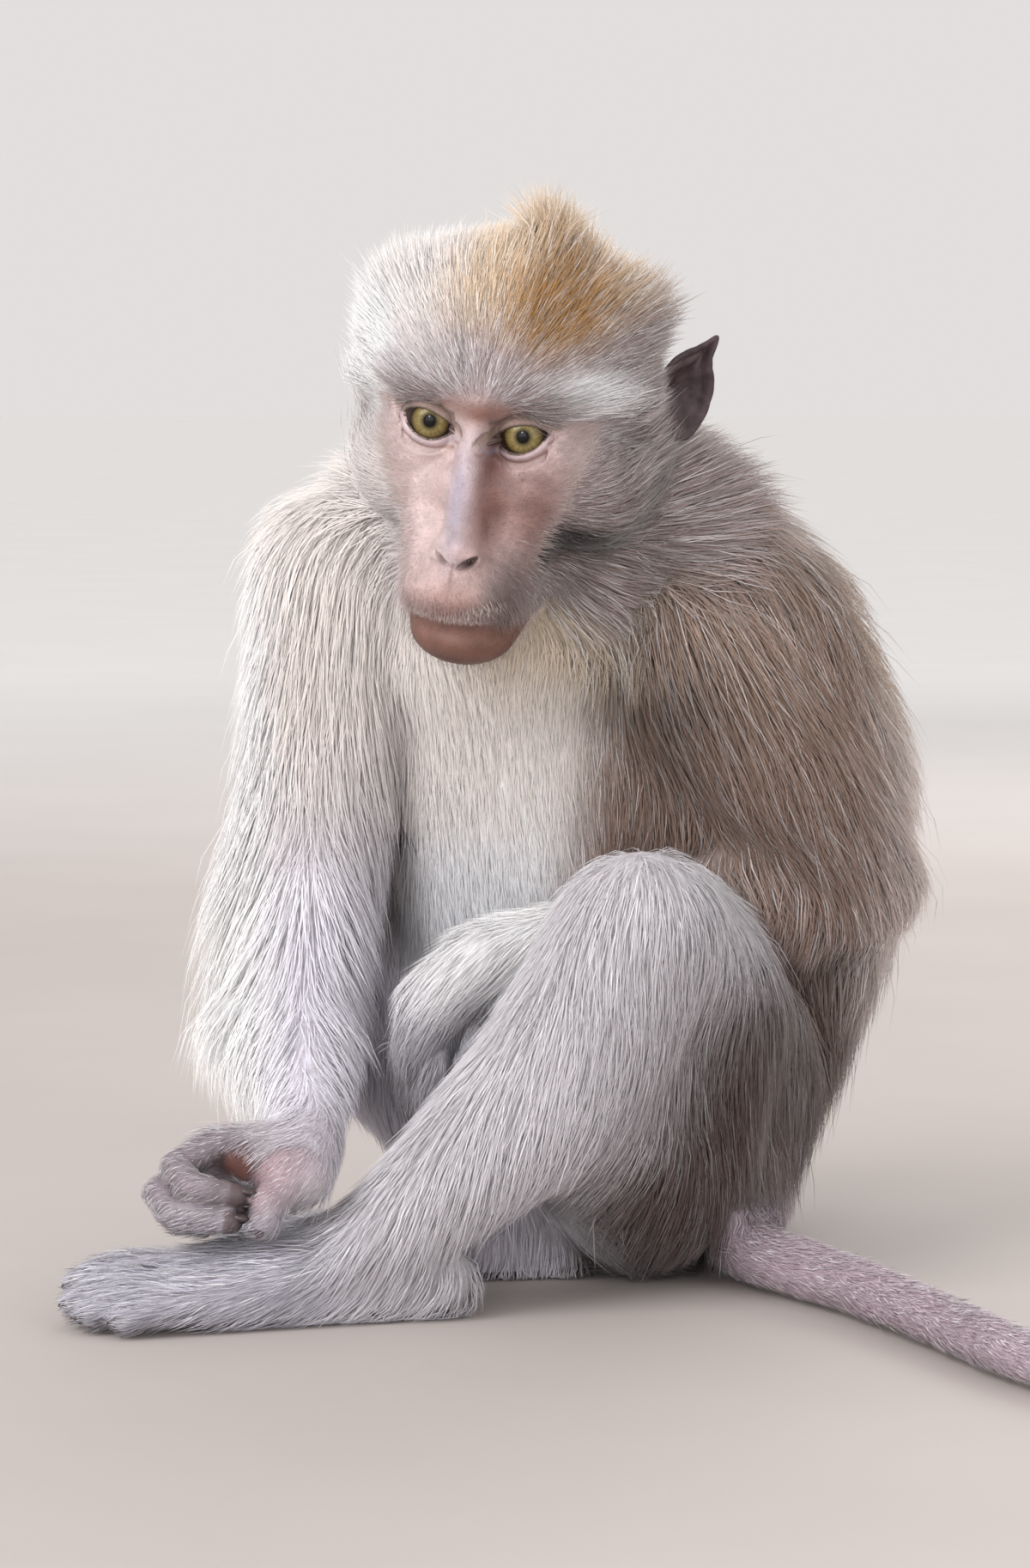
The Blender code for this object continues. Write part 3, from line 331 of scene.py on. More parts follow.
def leg_shapes(hip, haunch, knee, calf, ankle):
    forms = {
        "hip": (hip, 0.049),
        "thigh": (hip.lerp(knee, 0.55), 0.044),
        "knee": (knee, 0.031),
        "haunch": (haunch, haunch.z),
        "calf": (calf, 0.034),
    }
    pairs = "hip thigh, thigh knee, hip haunch, haunch thigh, haunch calf, thigh calf"
    shapes = linked(forms, pairs, THIGH_COAT)
    shank = calf.lerp(ankle, 0.55)
    return shapes + chain([(knee, 0.030), (calf, 0.033), (shank, 0.024), (ankle, 0.0185)], SHIN_COAT)


def digit(points, radius, taper=0.82):
    return chain([(Vector(p), radius * taper ** (i * 0.5)) for i, p in enumerate(points)])


RIGHT_FINGERS = (
    ((-0.157, -0.147, 0.0570), (-0.170, -0.158, 0.0520), (-0.164, -0.170, 0.0470), (-0.150, -0.171, 0.0440)),
    ((-0.160, -0.144, 0.0500), (-0.176, -0.155, 0.0430), (-0.170, -0.169, 0.0385), (-0.152, -0.172, 0.0355)),
    ((-0.159, -0.140, 0.0430), (-0.173, -0.148, 0.0370), (-0.168, -0.160, 0.0345), (-0.152, -0.163, 0.0340)),
    ((-0.155, -0.135, 0.0390), (-0.165, -0.139, 0.0360), (-0.162, -0.148, 0.0345), (-0.150, -0.152, 0.0350)),
)
RIGHT_THUMB = ((-0.134, -0.164, 0.0470), (-0.1395, -0.170, 0.0415), (-0.1405, -0.1712, 0.0360))
LEFT_THUMB = ((-0.085, -0.092, 0.097), (-0.087, -0.083, 0.087), (-0.090, -0.077, 0.080))


def left_fingers():
    fingers = []
    for spread in (-0.0090, -0.0032, 0.0040, 0.0110):
        base = Vector((-0.091 - spread * 0.5, -0.090 + spread * 0.8, 0.080))
        middle = base + Vector((0.001, 0.004, -0.017))
        fingers.append((base, middle, middle + Vector((0.010, 0.004, -0.010))))
    return fingers


def right_hand_shapes():
    forms = {
        "forearm": (WRIST_RIGHT.lerp(ELBOW_RIGHT, 0.25), 0.0090),
        "wrist": (WRIST_RIGHT, 0.0100),
        "palm": (Vector((-0.146, -0.142, 0.052)), (0.0125, 0.0105, 0.0105)),
        "high": (Vector((-0.158, -0.144, 0.0545)), 0.0068),
        "low": (Vector((-0.157, -0.140, 0.040)), 0.0068),
        "thenar": (Vector((-0.1315, -0.160, 0.0490)), (0.0122, 0.0092, 0.0104)),
    }
    shapes = linked(forms, "forearm wrist, wrist palm, palm high, palm low, palm thenar, wrist thenar")
    for finger in RIGHT_FINGERS:
        shapes += digit(finger, 0.0052)
    return shapes + digit(RIGHT_THUMB, 0.0062)


def left_hand_shapes():
    forms = {
        "forearm": (WRIST_LEFT.lerp(ELBOW_LEFT, 0.2), 0.0095),
        "wrist": (WRIST_LEFT, 0.0105),
        "palm": (Vector((-0.086, -0.096, 0.098)), (0.0115, 0.0105, 0.0115)),
        "knuckles": (Vector((-0.091, -0.090, 0.082)), (0.0095, 0.0115, 0.0075)),
    }
    shapes = linked(forms, "forearm wrist, wrist palm, palm knuckles")
    for finger in left_fingers():
        shapes += digit(finger, 0.0049)
    return shapes + digit(LEFT_THUMB, 0.0056)


TOES = (
    (-0.130, 0.56, 0.68, 0.76, 0.0100, 0.0058),
    (-0.048, 0.58, 0.74, 0.84, 0.0120, 0.0060),
    (0.034, 0.59, 0.76, 0.87, 0.0140, 0.0082),
    (0.112, 0.57, 0.74, 0.85, 0.0175, 0.0125),
)


def foot_place(foot, forward, sideways, up):
    """A point of a foot, by shares of its length from the ankle forward and sideways."""
    ankle, along, across, length = foot
    flat = Vector((ankle.x, ankle.y, 0)) + (along * forward + across * sideways) * length
    return Vector((flat.x, flat.y, up))


def toe_points(foot):
    toes = []
    for sideways, base, middle, tip, rise, end in TOES:
        middle_spot = (middle, sideways, rise * 1.02)
        toes.append(((base, sideways * 0.9, rise), middle_spot, (tip, sideways * 1.04, end)))
    toes.append(((0.30, 0.13, 0.0120), (0.46, 0.24, 0.0120), (0.60, 0.27, 0.0090)))
    return [[foot_place(foot, *spot_at) for spot_at in toe] for toe in toes]


def foot_shapes(foot):
    forms = {
        "joint": (foot[0], 0.0140),
        "heel": (foot_place(foot, -0.14, 0.0, 0.0120), (0.0122, 0.0103, 0.0120)),
        "instep": (foot_place(foot, 0.16, 0.0, 0.0185), (0.0142, 0.0122, 0.0122)),
        "sole": (foot_place(foot, 0.22, 0.0, 0.0100), (0.0142, 0.0122, 0.0102)),
        "near": (foot_place(foot, 0.52, -0.085, 0.0095), (0.0112, 0.0072, 0.0092)),
        "far": (foot_place(foot, 0.52, 0.085, 0.0125), (0.0112, 0.0078, 0.0108)),
    }
    pairs = (
        "joint heel, joint instep, heel sole, sole instep, instep near, instep far, sole near, "
        "sole far, near far"
    )
    shapes = linked(forms, pairs)
    *toes, great = toe_points(foot)
    for toe in toes:
        shapes += digit(toe, 0.0049, 0.90)
    return shapes + digit(great, 0.0064)


def curved(points, steps):
    """Points of a smooth curve through the given ones, with so many steps to each stretch."""
    points = [Vector(point) for point in points]
    ends = [points[0] * 2 - points[1], *points, points[-1] * 2 - points[-2]]
    line = []
    for a, b, c, d in zip(ends, ends[1:], ends[2:], ends[3:]):
        for step in range(steps):
            t = step / steps
            turn = a - b * 2.5 + c * 2 - d / 2
            twist = (b * 3 - a - c * 3 + d) / 2
            line.append(b + (c - a) / 2 * t + turn * t**2 + twist * t**3)
    return line + points[-1:]


def tail_stations(steps=3):
    line = []
    route = curved(TAIL_ROUTE, steps)
    for step, point in enumerate(route):
        radius = TAIL_ROOT_RADIUS + (TAIL_TIP_RADIUS - TAIL_ROOT_RADIUS) * step / (len(route) - 1)
        line.append((Vector((point.x, point.y, max(point.z, radius - 0.001))), radius - TAIL_COAT))
    return line


def head_shapes():
    """Skull, brow, muzzle and jaws without their coat."""
    forms = {
        "cranium": ((0, -46, 7), (0.0455, 0.0485, 0.0410)),
        "jowl": ((0, -42, -32), (0.038, 0.027, 0.021)),
        "nose_root": ((-1.4, -6.5, 4), (0.0050, 0.0080, 0.0080)),
        "nose": ((-0.4, 3.5, -16), (0.0062, 0.0082, 0.0080)),
        "nose_tip": ((0.3, 13.6, -35.5), (0.0074, 0.0058, 0.0058)),
        "muzzle": ((0, -15, -29), (0.0275, 0.016, 0.017)),
        "upper_jaw": ((0, 8, -51.0), (0.0205, 0.0168, 0.0118)),
        "lower_jaw": ((0.4, 5, -66), (0.0182, 0.0152, 0.0122)),
        "jaw_root": ((0, -32, -48), (0.027, 0.019, 0.015)),
    }
    forms = {name: (on_head(*place), radii, HEAD) for name, (place, radii) in forms.items()}
    forms["neck"] = (on_head(0, -66, -34), 0.030)
    pairs = (
        "cranium jowl, nose_root nose, nose nose_tip, nose muzzle, muzzle upper_jaw, nose_tip upper_jaw, "
        "muzzle lower_jaw, lower_jaw jaw_root, jowl jaw_root, jowl neck, cranium neck"
    )
    shapes = linked(forms, pairs)
    for side, (left, forward, up) in EYE_PLACES.items():
        forms["socket"] = (on_head(left, forward - 1, up), (0.0128, 0.0114, 0.0125), HEAD)
        forms["cheek"] = (on_head(side * 25.5, -23, -20), (0.0175, 0.0165, 0.0215), HEAD)
        shapes += linked(forms, "cranium socket, cheek muzzle, cheek jowl, cheek socket")
    brow = [(-37, -29, 3), (-26, -15, 8.5), (-10, -7.5, 9.5), (10, -7.5, 9.5), (26, -15, 8.5), (37, -29, 3)]
    return shapes + chain([(on_head(*place), (0.0075, 0.0070, 0.0055), HEAD) for place in brow])


def refined(obj, inside):
    """Splits the faces whose middle the test accepts, once each way."""
    shape = bmesh.new()
    shape.from_mesh(obj.data)
    chosen = [f for f in shape.faces if inside(f.calc_center_median())]
    edges = list({edge for face in chosen for edge in face.edges})
    bmesh.ops.subdivide_edges(shape, edges=edges, cuts=1, use_grid_fill=True)
    shape.to_mesh(obj.data)
    shape.free()


def near_face(point):
    side, forward, up = to_head(np.array([point]))[0]
    return forward > -26 and abs(side) < 34 and -82 < up < 20


def near_detail(point):
    side, forward, up = to_head(np.array([point]))[0]
    lids = any(forward > -22 and math.hypot(side - eye[0], up - eye[2]) < 15 for eye in EYE_PLACES.values())
    nose = forward > 6 and abs(side) < 10 and -46 < up < -30
    mouth = forward > 2 and -64 < up < -50
    return lids or nose or mouth


def bump(local, centre, radii, push):
    """Moves points near a place by a push that fades out as a bell curve."""
    weight = np.exp(-(((local - centre) / radii) ** 2).sum(1))
    return local + weight[:, None] * np.array(push)


def lid_distance(local, side):
    """How far each point is outside the opening between one eye's lids, in millimetres."""
    left, _, level = EYE_PLACES[side]
    width = LID_WIDTHS[side]
    out = (local[:, 0] - left) * side
    across = (out + 0.5) / width
    up = local[:, 2] - level - 0.6 - 0.19 * (out + 0.5)
    height = LID_HEIGHT * np.where(up > 0, 0.90, 0.96)
    power = np.where(across < 0, 1.75, 2.15)
    edge = np.clip(1 - np.abs(across) ** power, 0, 1) ** np.where(across < 0, 0.92, 0.80)
    inside = np.maximum(height * edge, 0.02)
    over = np.abs(up) - inside
    beyond = (np.abs(across) - 1) * width
    distance = np.where(np.abs(across) < 1, over * (0.55 + 0.45 * edge), np.hypot(np.maximum(beyond, 0), up))
    return distance, up


def lids(local, side):
    """Draws the skin over one eyeball as two lids with a sharp margin and open lids between."""
    centre = np.array(EYE_PLACES[side])
    ray = local - centre
    reach = np.linalg.norm(ray, axis=1)
    distance, up = lid_distance(local, side)
    front = (local[:, 1] > centre[1] - 2) & (np.hypot(ray[:, 0], ray[:, 2]) < 17)
    shell = EYE_RADIUS + 0.80 + 0.55 * step_up(distance, 0.2, 1.6)
    crease = -0.95 * np.exp(-(((distance - 3.6) / 0.75) ** 2)) * (up > 0)
    bag = 0.25 * np.exp(-(((distance - 2.0) / 1.1) ** 2)) - 0.40 * np.exp(-(((distance - 3.4) / 0.6) ** 2))
    fold = 0.20 * np.exp(-(((distance - 5.0) / 0.9) ** 2)) - 0.30 * np.exp(-(((distance - 6.6) / 0.7) ** 2))
    shell = shell + crease + (bag + fold) * (up <= 0)
    flat_reach = np.hypot(ray[:, 0], ray[:, 2])
    sphere_forward = np.sqrt(np.maximum(shell**2 - flat_reach**2, 0.0))
    on_shell = local.copy()
    on_shell[:, 1] = centre[1] + sphere_forward
    keep = step_up(distance, 1.2, 6.5)
    inner = (local[:, 0] - centre[0]) * side < 0
    margin = np.where(inner, step_up(flat_reach / shell, 0.78, 0.96), flat_reach > shell * 0.96)
    keep = np.maximum(keep, margin)
    blended = on_shell * (1 - keep)[:, None] + local * keep[:, None]
    hidden = centre + ray / np.maximum(reach, 1e-6)[:, None] * (EYE_RADIUS * 0.72)
    result = np.where((distance < 0)[:, None], hidden, blended)
    return np.where(front[:, None], result, local)


def mouth_level(side):
    """Height of the line of the mouth, whose corners are at -1 and 1."""
    return -57.0 - 1.4 * np.clip(np.abs(side), 0, 1.25) ** 1.5


# Centre, radii and push of the face's forms, which both sides have
SIDE_FORMS = (
    ((17, 0, 2), (12, 14, 8.5), (0, -3.6, 0)),
    ((8, 2, -3), (4.5, 9, 8), (0, -2.4, 0)),
    ((20, -4, 12.5), (13, 12, 4.6), (0, 2.2, 0.6)),
    ((21, 0, -21), (11, 14, 11), (0.6, 1.4, 0)),
    ((11.5, 10, -27), (4.6, 10, 12), (0, -1.9, 0)),
    ((6.2, 16.5, -36.6), (2.9, 5, 3.2), (0.9, 1.2, 0.2)),
    ((12.5, 16, -49), (8, 9, 6.5), (0, 1.3, 0)),
    ((19.5, 8, -46), (3.4, 10, 12), (-0.6, -1.1, 0)),
)


def sculpted(points):
    """The face: sockets, lids, nose, nostrils, lips and the folds round them."""
    local = to_head(points)
    face = local.copy()
    for side in (1, -1):
        mirror = np.array((side, 1, 1))
        for centre, radii, push in SIDE_FORMS:
            face = bump(face, centre * mirror, radii, push * mirror)
    face = bump(face, (0.5, 19, -34.5), (3.0, 6, 3.0), (0, 1.5, 0.3))
    face = bump(face, (0.3, 14, -27), (2.6, 8, 6), (0, 0.8, 0))
    for side in (1, -1):
        face = lids(face, side)
    face = lips(nostrils(face))
    return from_head(np.where((local[:, 1] > FACE_BACK)[:, None], face, local))


def nostrils(face):
    """Two comma-shaped openings under the tip of the nose and the groove below them."""
    for side, level, long, high, depth in ((1, 38.8, 3.7, 1.30, 4.2), (-1, 38.0, 3.5, 0.75, 2.8)):
        across = face[:, 0] * side - 4.2
        up = face[:, 2] + level
        slanted = across * 0.80 + up * 0.60
        steep = -across * 0.60 + up * 0.80
        spread = (slanted / long) ** 2 + (steep / high) ** 2
        deep = np.where(face[:, 1] > 8, np.exp(-(spread**2)), 0)
        wing = np.exp(-(((face[:, 0] * side - 7.9) / 1.1) ** 2) - (((face[:, 2] + 31) / 5.0) ** 2))
        face = face - deep[:, None] * (0, depth, -0.9) - (wing * (face[:, 1] > 4))[:, None] * (0, 1.1, 0)
    groove = np.exp(-((face[:, 0] / 0.7) ** 2)) * step_up(face[:, 2], -52, -46) * step_up(-face[:, 2], 38, 40)
    face[:, 1] -= groove * (face[:, 1] > 8)
    return face


def lips(face):
    """The line of the mouth as a deep crease between two rolled lips, and the chin's fold."""
    side = face[:, 0] / MOUTH_SIDE
    over = face[:, 2] - mouth_level(side)
    near = (face[:, 1] > 0) * step_up(1.16 - np.abs(side), 0, 0.14)
    upper = 0.30 * np.exp(-(((over - 1.8) / 1.4) ** 2))
    lower = 0.75 * np.exp(-(((over + 2.5) / 1.9) ** 2))
    crease = 2.6 * np.exp(-((over / 0.55) ** 4))
    under = 0.35 * np.exp(-(((over + 6.6) / 1.9) ** 2))
    face[:, 1] += near * (upper + lower - crease - under)
    return face


def moved(mesh, change):
    """Moves a mesh's points as the function says."""
    mesh.vertices.foreach_set("co", change(read(mesh.vertices, "co")).ravel())
    mesh.update()


def above_floor(points):
    return np.maximum(points, (-np.inf, -np.inf, FLOOR_LIFT))


def build_skin():
    body = trunk_shapes()
    body += arm_shapes(SHOULDER_LEFT, ELBOW_LEFT, WRIST_LEFT)
    body += arm_shapes(SHOULDER_RIGHT, ELBOW_RIGHT, WRIST_RIGHT)
    body += leg_shapes(HIP_LEFT, HAUNCH_LEFT, KNEE_LEFT, CALF_LEFT, ANKLE_LEFT)
    body += leg_shapes(HIP_RIGHT, HAUNCH_RIGHT, KNEE_RIGHT, CALF_RIGHT, ANKLE_RIGHT)
    body += chain(tail_stations())
    skin = fused("skin", body, BODY_VOXEL, 3)
    for shapes in (right_hand_shapes(), left_hand_shapes(), *(foot_shapes(foot) for foot in FEET.values())):
        joined(skin, fused("end", shapes, DIGIT_VOXEL, 2))
    head = fused("head_skin", head_shapes(), HEAD_VOXEL, 4)
    refined(head, near_face)
    refined(head, near_detail)
    soften(head, 4)
    moved(head.data, sculpted)
    joined(skin, head)
    moved(skin.data, above_floor)
    return skin


def read(items, name, width=3, kind=np.float32):
    values = np.empty(len(items) * width, kind)
    items.foreach_get(name, values)
    return values.reshape(-1, width).astype(np.float64 if kind == np.float32 else kind)


# Markings and lie of the coat, by the part of the body that each point belongs to; some of the colours are
# painted light and shade
CREAM = tone(244, 235, 230)
WHITE = tone(254, 253, 255)
LILAC = tone(230, 226, 237)
THROAT = tone(240, 222, 196)
CHEST_TONE = tone(244, 236, 231)
BELLY_TONE = tone(249, 250, 255)
GOLD = tone(180, 134, 70)
GOLD_DARK = tone(176, 128, 69)
CROWN_GOLD = tone(232, 204, 172)
BROWN = tone(160, 135, 121)
BROWN_DARK = tone(142, 118, 107)
THIGH_TONE = tone(98, 79, 76)
KNEE_TONE = tone(142, 129, 140)
FOOT_TONE = tone(184, 181, 193)
HAND_TONE = tone(168, 156, 164)
# painted rim light: the coat's pale tone where light from behind falls on the right edges
RIM_LIT_TONE = tone(228, 212, 206)
TEMPLE_TONE = tone(144, 126, 121)
SHIN_TONE = tone(209, 205, 211)
TAIL_TONE = tone(195, 175, 186)
FACE_TONE = tone(199, 178, 176)
NOSE_TONE = tone(151, 142, 158)
NOSE_SIDE = tone(130, 92, 85)
NOSE_SHADE = tone(88, 54, 50)
BROW_RED = tone(122, 84, 72)
CHIN_TONE = tone(112, 78, 66)
LIP_TONE = tone(150, 113, 105)
LID_TONE = tone(134, 112, 100)
LID_DARK = tone(58, 42, 38)
PALM_TONE = tone(154, 130, 137)
DIGIT_TONE = tone(84, 71, 74)
HOLLOW_TONE = tone(108, 72, 66)
HEAD_GREY = tone(183, 169, 172)
HEAD_DARK = tone(29, 14, 9)
CHEEK_TONE = tone(158, 140, 136)
CREST_TONE = tone(250, 234, 212)
DOWN_PALE = tone(186, 170, 166)
DOWN_DARK = tone(120, 100, 96)
LIP_PALE = tone(216, 200, 196)
LIP_DARK = tone(92, 72, 68)

DOWN = np.array((0.0, 0.0, -1.0))
COLLAR = np.array((-0.046, -0.050, 0.262))  # the trunk's coat spreads from here
THUMB_REACH = 0.0125
PALM_EDGE = -0.1465

Part = namedtuple("Part", "name start end radius length lift droop")


def body_parts():
    """Each part's middle line, its radius, and its coat's length, lift and lean downwards."""
    left_shank = CALF_LEFT.lerp(ANKLE_LEFT, 0.5)
    near_wrist = ELBOW_RIGHT.lerp(WRIST_RIGHT, 0.6)
    thigh_left, thigh_right = HIP_LEFT.lerp(KNEE_LEFT, 0.5), HIP_RIGHT.lerp(KNEE_RIGHT, 0.5)
    rows = [
        ("seat", SEAT, PELVIS, 0.040, 0.030, 0.20, 1.0),
        ("back", LOIN, RIBS, 0.056, 0.037, 0.24, 1.0),
        ("back", RIBS, WITHERS, 0.054, 0.038, 0.25, 1.0),
        ("front", BELLY, CHEST, 0.048, 0.015, 0.12, 1.0),
        ("mantle", WITHERS, NAPE, 0.036, 0.038, 0.28, 1.0),
        ("arm_left", SHOULDER_LEFT, ELBOW_LEFT, 0.028, 0.032, 0.22, 0.35),
        ("arm_left", ELBOW_LEFT, WRIST_LEFT, 0.018, 0.020, 0.20, 0.4),
        ("arm_right", SHOULDER_RIGHT, ELBOW_RIGHT, 0.027, 0.032, 0.22, 0.9),
        ("arm_right", ELBOW_RIGHT, near_wrist, 0.018, 0.027, 0.20, 0.9),
        ("arm_right", near_wrist, WRIST_RIGHT, 0.012, 0.013, 0.16, 0.8),
        ("hand_right", WRIST_RIGHT, Vector((-0.160, -0.152, 0.044)), 0.012, 0.0058, 0.16, 0),
        ("hand_left", WRIST_LEFT, Vector((-0.090, -0.090, 0.066)), 0.012, 0.013, 0.18, 0),
        ("leg_left", HIP_LEFT, thigh_left, 0.040, 0.032, 0.18, 1.0),
        ("leg_left", thigh_left, KNEE_LEFT, 0.030, 0.022, 0.13, 1.0),
        ("leg_left", HAUNCH_LEFT, thigh_left, 0.034, 0.030, 0.16, 1.0),
        ("leg_left", KNEE_LEFT, CALF_LEFT, 0.026, 0.022, 0.12, 0.5),
        ("leg_left", CALF_LEFT, left_shank, 0.024, 0.027, 0.13, 0.6),
        ("leg_left", left_shank, ANKLE_LEFT, 0.017, 0.024, 0.14, 0.6),
        ("leg_right", HIP_RIGHT, thigh_right, 0.040, 0.032, 0.18, 1.0),
        ("leg_right", thigh_right, KNEE_RIGHT, 0.030, 0.024, 0.15, 0.9),
        ("leg_right", HAUNCH_RIGHT, thigh_right, 0.034, 0.030, 0.16, 1.0),
        ("shin_right", KNEE_RIGHT, CALF_RIGHT, 0.026, 0.022, 0.14, 0.5),
        ("shin_right", CALF_RIGHT, ANKLE_RIGHT, 0.020, 0.020, 0.14, 0.5),
    ]
    for foot in FEET.values():
        toes = foot_place(foot, 0.5, 0, 0.010)
        rows.append(("foot", foot[0], toes, 0.012, 0.0155, 0.25, 0))
        rows.append(("foot", toes, foot_place(foot, 0.9, 0, 0.008), 0.010, 0.0120, 0.20, 0))
    line = tail_stations(1)
    for (start, radius), (end, _) in zip(line, line[1:]):
        rows.append(("tail", start, end, radius, 0.0110, 0.15, 0))
    return [Part(name, np.array(start), np.array(end), *rest) for name, start, end, *rest in rows]


PARTS = body_parts()
BLEND = 0.0045  # over how much distance one part's coat turns into the next one's


def part_weights(points):
    """How much each point belongs to each part, by its distance from the part's surface."""
    gaps = []
    for part in PARTS:
        line = part.end - part.start
        along = np.clip((points - part.start) @ line / max(line @ line, 1e-9), 0, 1)
        gaps.append(np.linalg.norm(points - (part.start + along[:, None] * line), axis=1) - part.radius)
    gaps = np.array(gaps).T
    gaps -= gaps.min(1, keepdims=True)
    weights = np.exp(-gaps / BLEND)
    return weights / weights.sum(1, keepdims=True)


def head_share(points):
    """How much of the head's own coat each point has, against the body's."""
    local = to_head(points)
    under = 84 + 0.56 * np.minimum(local[:, 1], 0)
    share = 1 - step_up(-local[:, 2] - under, -5, 6)
    share = share * (1 - step_up(np.abs(local[:, 0]), 56, 68))
    return share * (1 - step_up(-local[:, 1], 92, 108))


FACE_EDGE_UP = (-78, -64, -56, -38, -15, 2, 12)
FACE_EDGE_SIDE = (14, 18, 16.5, 18.5, 26.5, 33, 34)


def face_ring(local):
    """1 on the edge of the bare face, less inside it and more outside."""
    edge = np.interp(local[:, 2], FACE_EDGE_UP, FACE_EDGE_SIDE)
    ring = np.abs(local[:, 0]) / edge + 1.1 * step_up(-local[:, 1], 14, 40)
    left = local[:, 0]
    brow = 8.0 + 2.2 * np.cos(left / 5.4) - 0.004 * left**2 - 1.6 * step_up(left, 2, 18)
    ring = ring + 1.2 * step_up(local[:, 2] - brow, -3, 6)
    return ring + 1.2 * step_up(-local[:, 2], 73, 80)


def head_coat(local):
    """Direction, length and lift of the head's coat at points in the head's measures."""
    brow = np.array((0.0, 8.0, 4.0))
    nose = np.array((0.0, 14.0, -26.0))
    upper = step_up(local[:, 2], -8, 12)[:, None]
    way = unit(local - brow) * upper + unit(local - nose) * (1 - upper)
    lip = step_up(-local[:, 2], 44, 54)[:, None] * step_up(local[:, 1], -6, 4)[:, None]
    way = way * (1 - lip) + (local * (0.02, 0, 0) + (0, 0, -1)) * lip
    crest = np.array((17.0, -42.0, 88.0))
    gap = local - (12, -42, 52)
    pull = np.exp(-((gap[:, 0] / 12) ** 2) - ((gap[:, 1] / 18) ** 2)) * step_up(local[:, 2], 34, 46)
    way = way * (1 - 0.94 * pull[:, None]) + unit(crest - local) * pull[:, None]
    behind = step_up(-local[:, 1], 66, 92)[:, None]
    way = way * (1 - behind) + np.array((0, -0.5, -0.85)) * behind
    ring = face_ring(local)
    length = 2.6 + 24 * step_up(ring, 1.05, 2.1)
    top = step_up(local[:, 2], 4, 20)
    crown = 6.5 + 12 * step_up(local[:, 2] - local[:, 1] * 0.45, 24, 66) + 9 * pull
    fluff = spot(local, (-42, -34, 28), (20, 26, 22)) + 1.1 * spot(local, (44, -46, 30), (16, 26, 18))
    temple = 0.3 * spot(local, (44, -48, 2), (15, 24, 22)) + 0.5 * spot(local, (-44, -46, 0), (15, 26, 26))
    ruff = step_up(np.abs(local[:, 0]), 22, 40) * step_up(-local[:, 2], 2, 26) * step_up(-local[:, 1], 14, 34)
    length = length * (1 - top) + crown * top
    length = length + 5 * behind[:, 0] + 12 * fluff * top + 9 * temple + 10 * ruff
    lift = 0.12 + 0.14 * step_up(ring, 1.0, 1.6) + 0.06 * top + 0.62 * pull
    lift = lift + 0.44 * fluff * top + 0.22 * temple + 0.20 * ruff
    ear = spot(local, (46, -52, 0), (14, 20, 20))
    length, lift = length * (1 - 0.55 * ear), lift * (1 - 0.45 * ear)
    return head_way(way), length / 1000, lift, ring


def coat_at(points):
    """Flow, length and lift of the coat at points of the skin, and the head's share of it."""
    weights = part_weights(points)
    ways = np.array([unit(part.end - part.start) for part in PARTS])
    droops = np.array([part.droop for part in PARTS])
    spread = unit(points - COLLAR)
    flow = weights @ (ways * (1 - droops)[:, None]) + (weights @ droops)[:, None] * DOWN
    trunk = weights @ np.array([part.name in ("back", "front", "mantle") for part in PARTS], float)
    flow = flow + spread * (0.55 * trunk * step_up(points[:, 2], 0.14, 0.24))[:, None]
    length = weights @ np.array([part.length for part in PARTS])
    lift = weights @ np.array([part.lift for part in PARTS])
    share = head_share(points)
    way, head_length, head_lift, _ = head_coat(to_head(points))
    flow = flow * (1 - share)[:, None] + way * share[:, None] * 1.2
    length = length * (1 - share) + head_length * share
    lift = lift * (1 - share) + head_lift * share
    fringe = step_up(-points[:, 0], 0.135, 0.155) * (1 - step_up(points[:, 2], 0.15, 0.19))
    fringe = fringe * step_up(points[:, 2], 0.055, 0.075) * (points[:, 1] > -0.15)
    length = (length + 0.020 * fringe) * (1 - bare_places(points))
    return flow, length, lift + 0.14 * fringe, share


def bare_places(points):
    """Palms, soles and the ends of the digits, which carry no coat."""
    bare = np.maximum(0.47 * thumb_share(points), hollow_share(points))
    bare = np.maximum(bare, (points[:, 2] < 0.003) & (points[:, 1] < -0.06))
    return np.maximum(bare, tip_share(points, 0.0028, 0.0052))


def tip_share(points, near, far):
    """1 at the ends of the digits, less with the distance from them."""
    share = np.zeros(len(points))
    for tip in digit_tips():
        share = np.maximum(share, 1 - step_up(np.linalg.norm(points - np.array(tip), axis=1), near, far))
    return share


def hollow_share(points):
    """1 in the hollow of the right palm, which the curled fingers leave open."""
    return patch(points, 1.6, (-0.150, -0.156, 0.0515), (0.0052, 0.012, 0.0044))


def thumb_share(points):
    """1 on the bare ball and thumb of the right hand, less beyond their reach."""
    share = np.zeros(len(points))
    line = [Vector((-0.131, -0.166, 0.050)), *(Vector(p) for p in RIGHT_THUMB)]
    for start, end in zip(line, line[1:]):
        start, way = np.array(start), np.array(end - start)
        along = np.clip((points - start) @ way / (way @ way), 0, 1)
        gap = np.linalg.norm(points - start - along[:, None] * way, axis=1)
        share = np.maximum(share, 1 - step_up(gap, THUMB_REACH * 0.72, THUMB_REACH))
    return share


def digit_tips():
    tips = [finger[-1] for finger in (*RIGHT_FINGERS, RIGHT_THUMB)]
    for foot in FEET.values():
        tips += [toe[-1] for toe in toe_points(foot)]
    return tips


def mix(first, second, share):
    return first * (1 - share)[:, None] + second * share[:, None]


def layered(colour, *layers):
    """A colour with others laid over it in turn, each by its own share."""
    for over, share in layers:
        colour = mix(colour, over, share)
    return colour


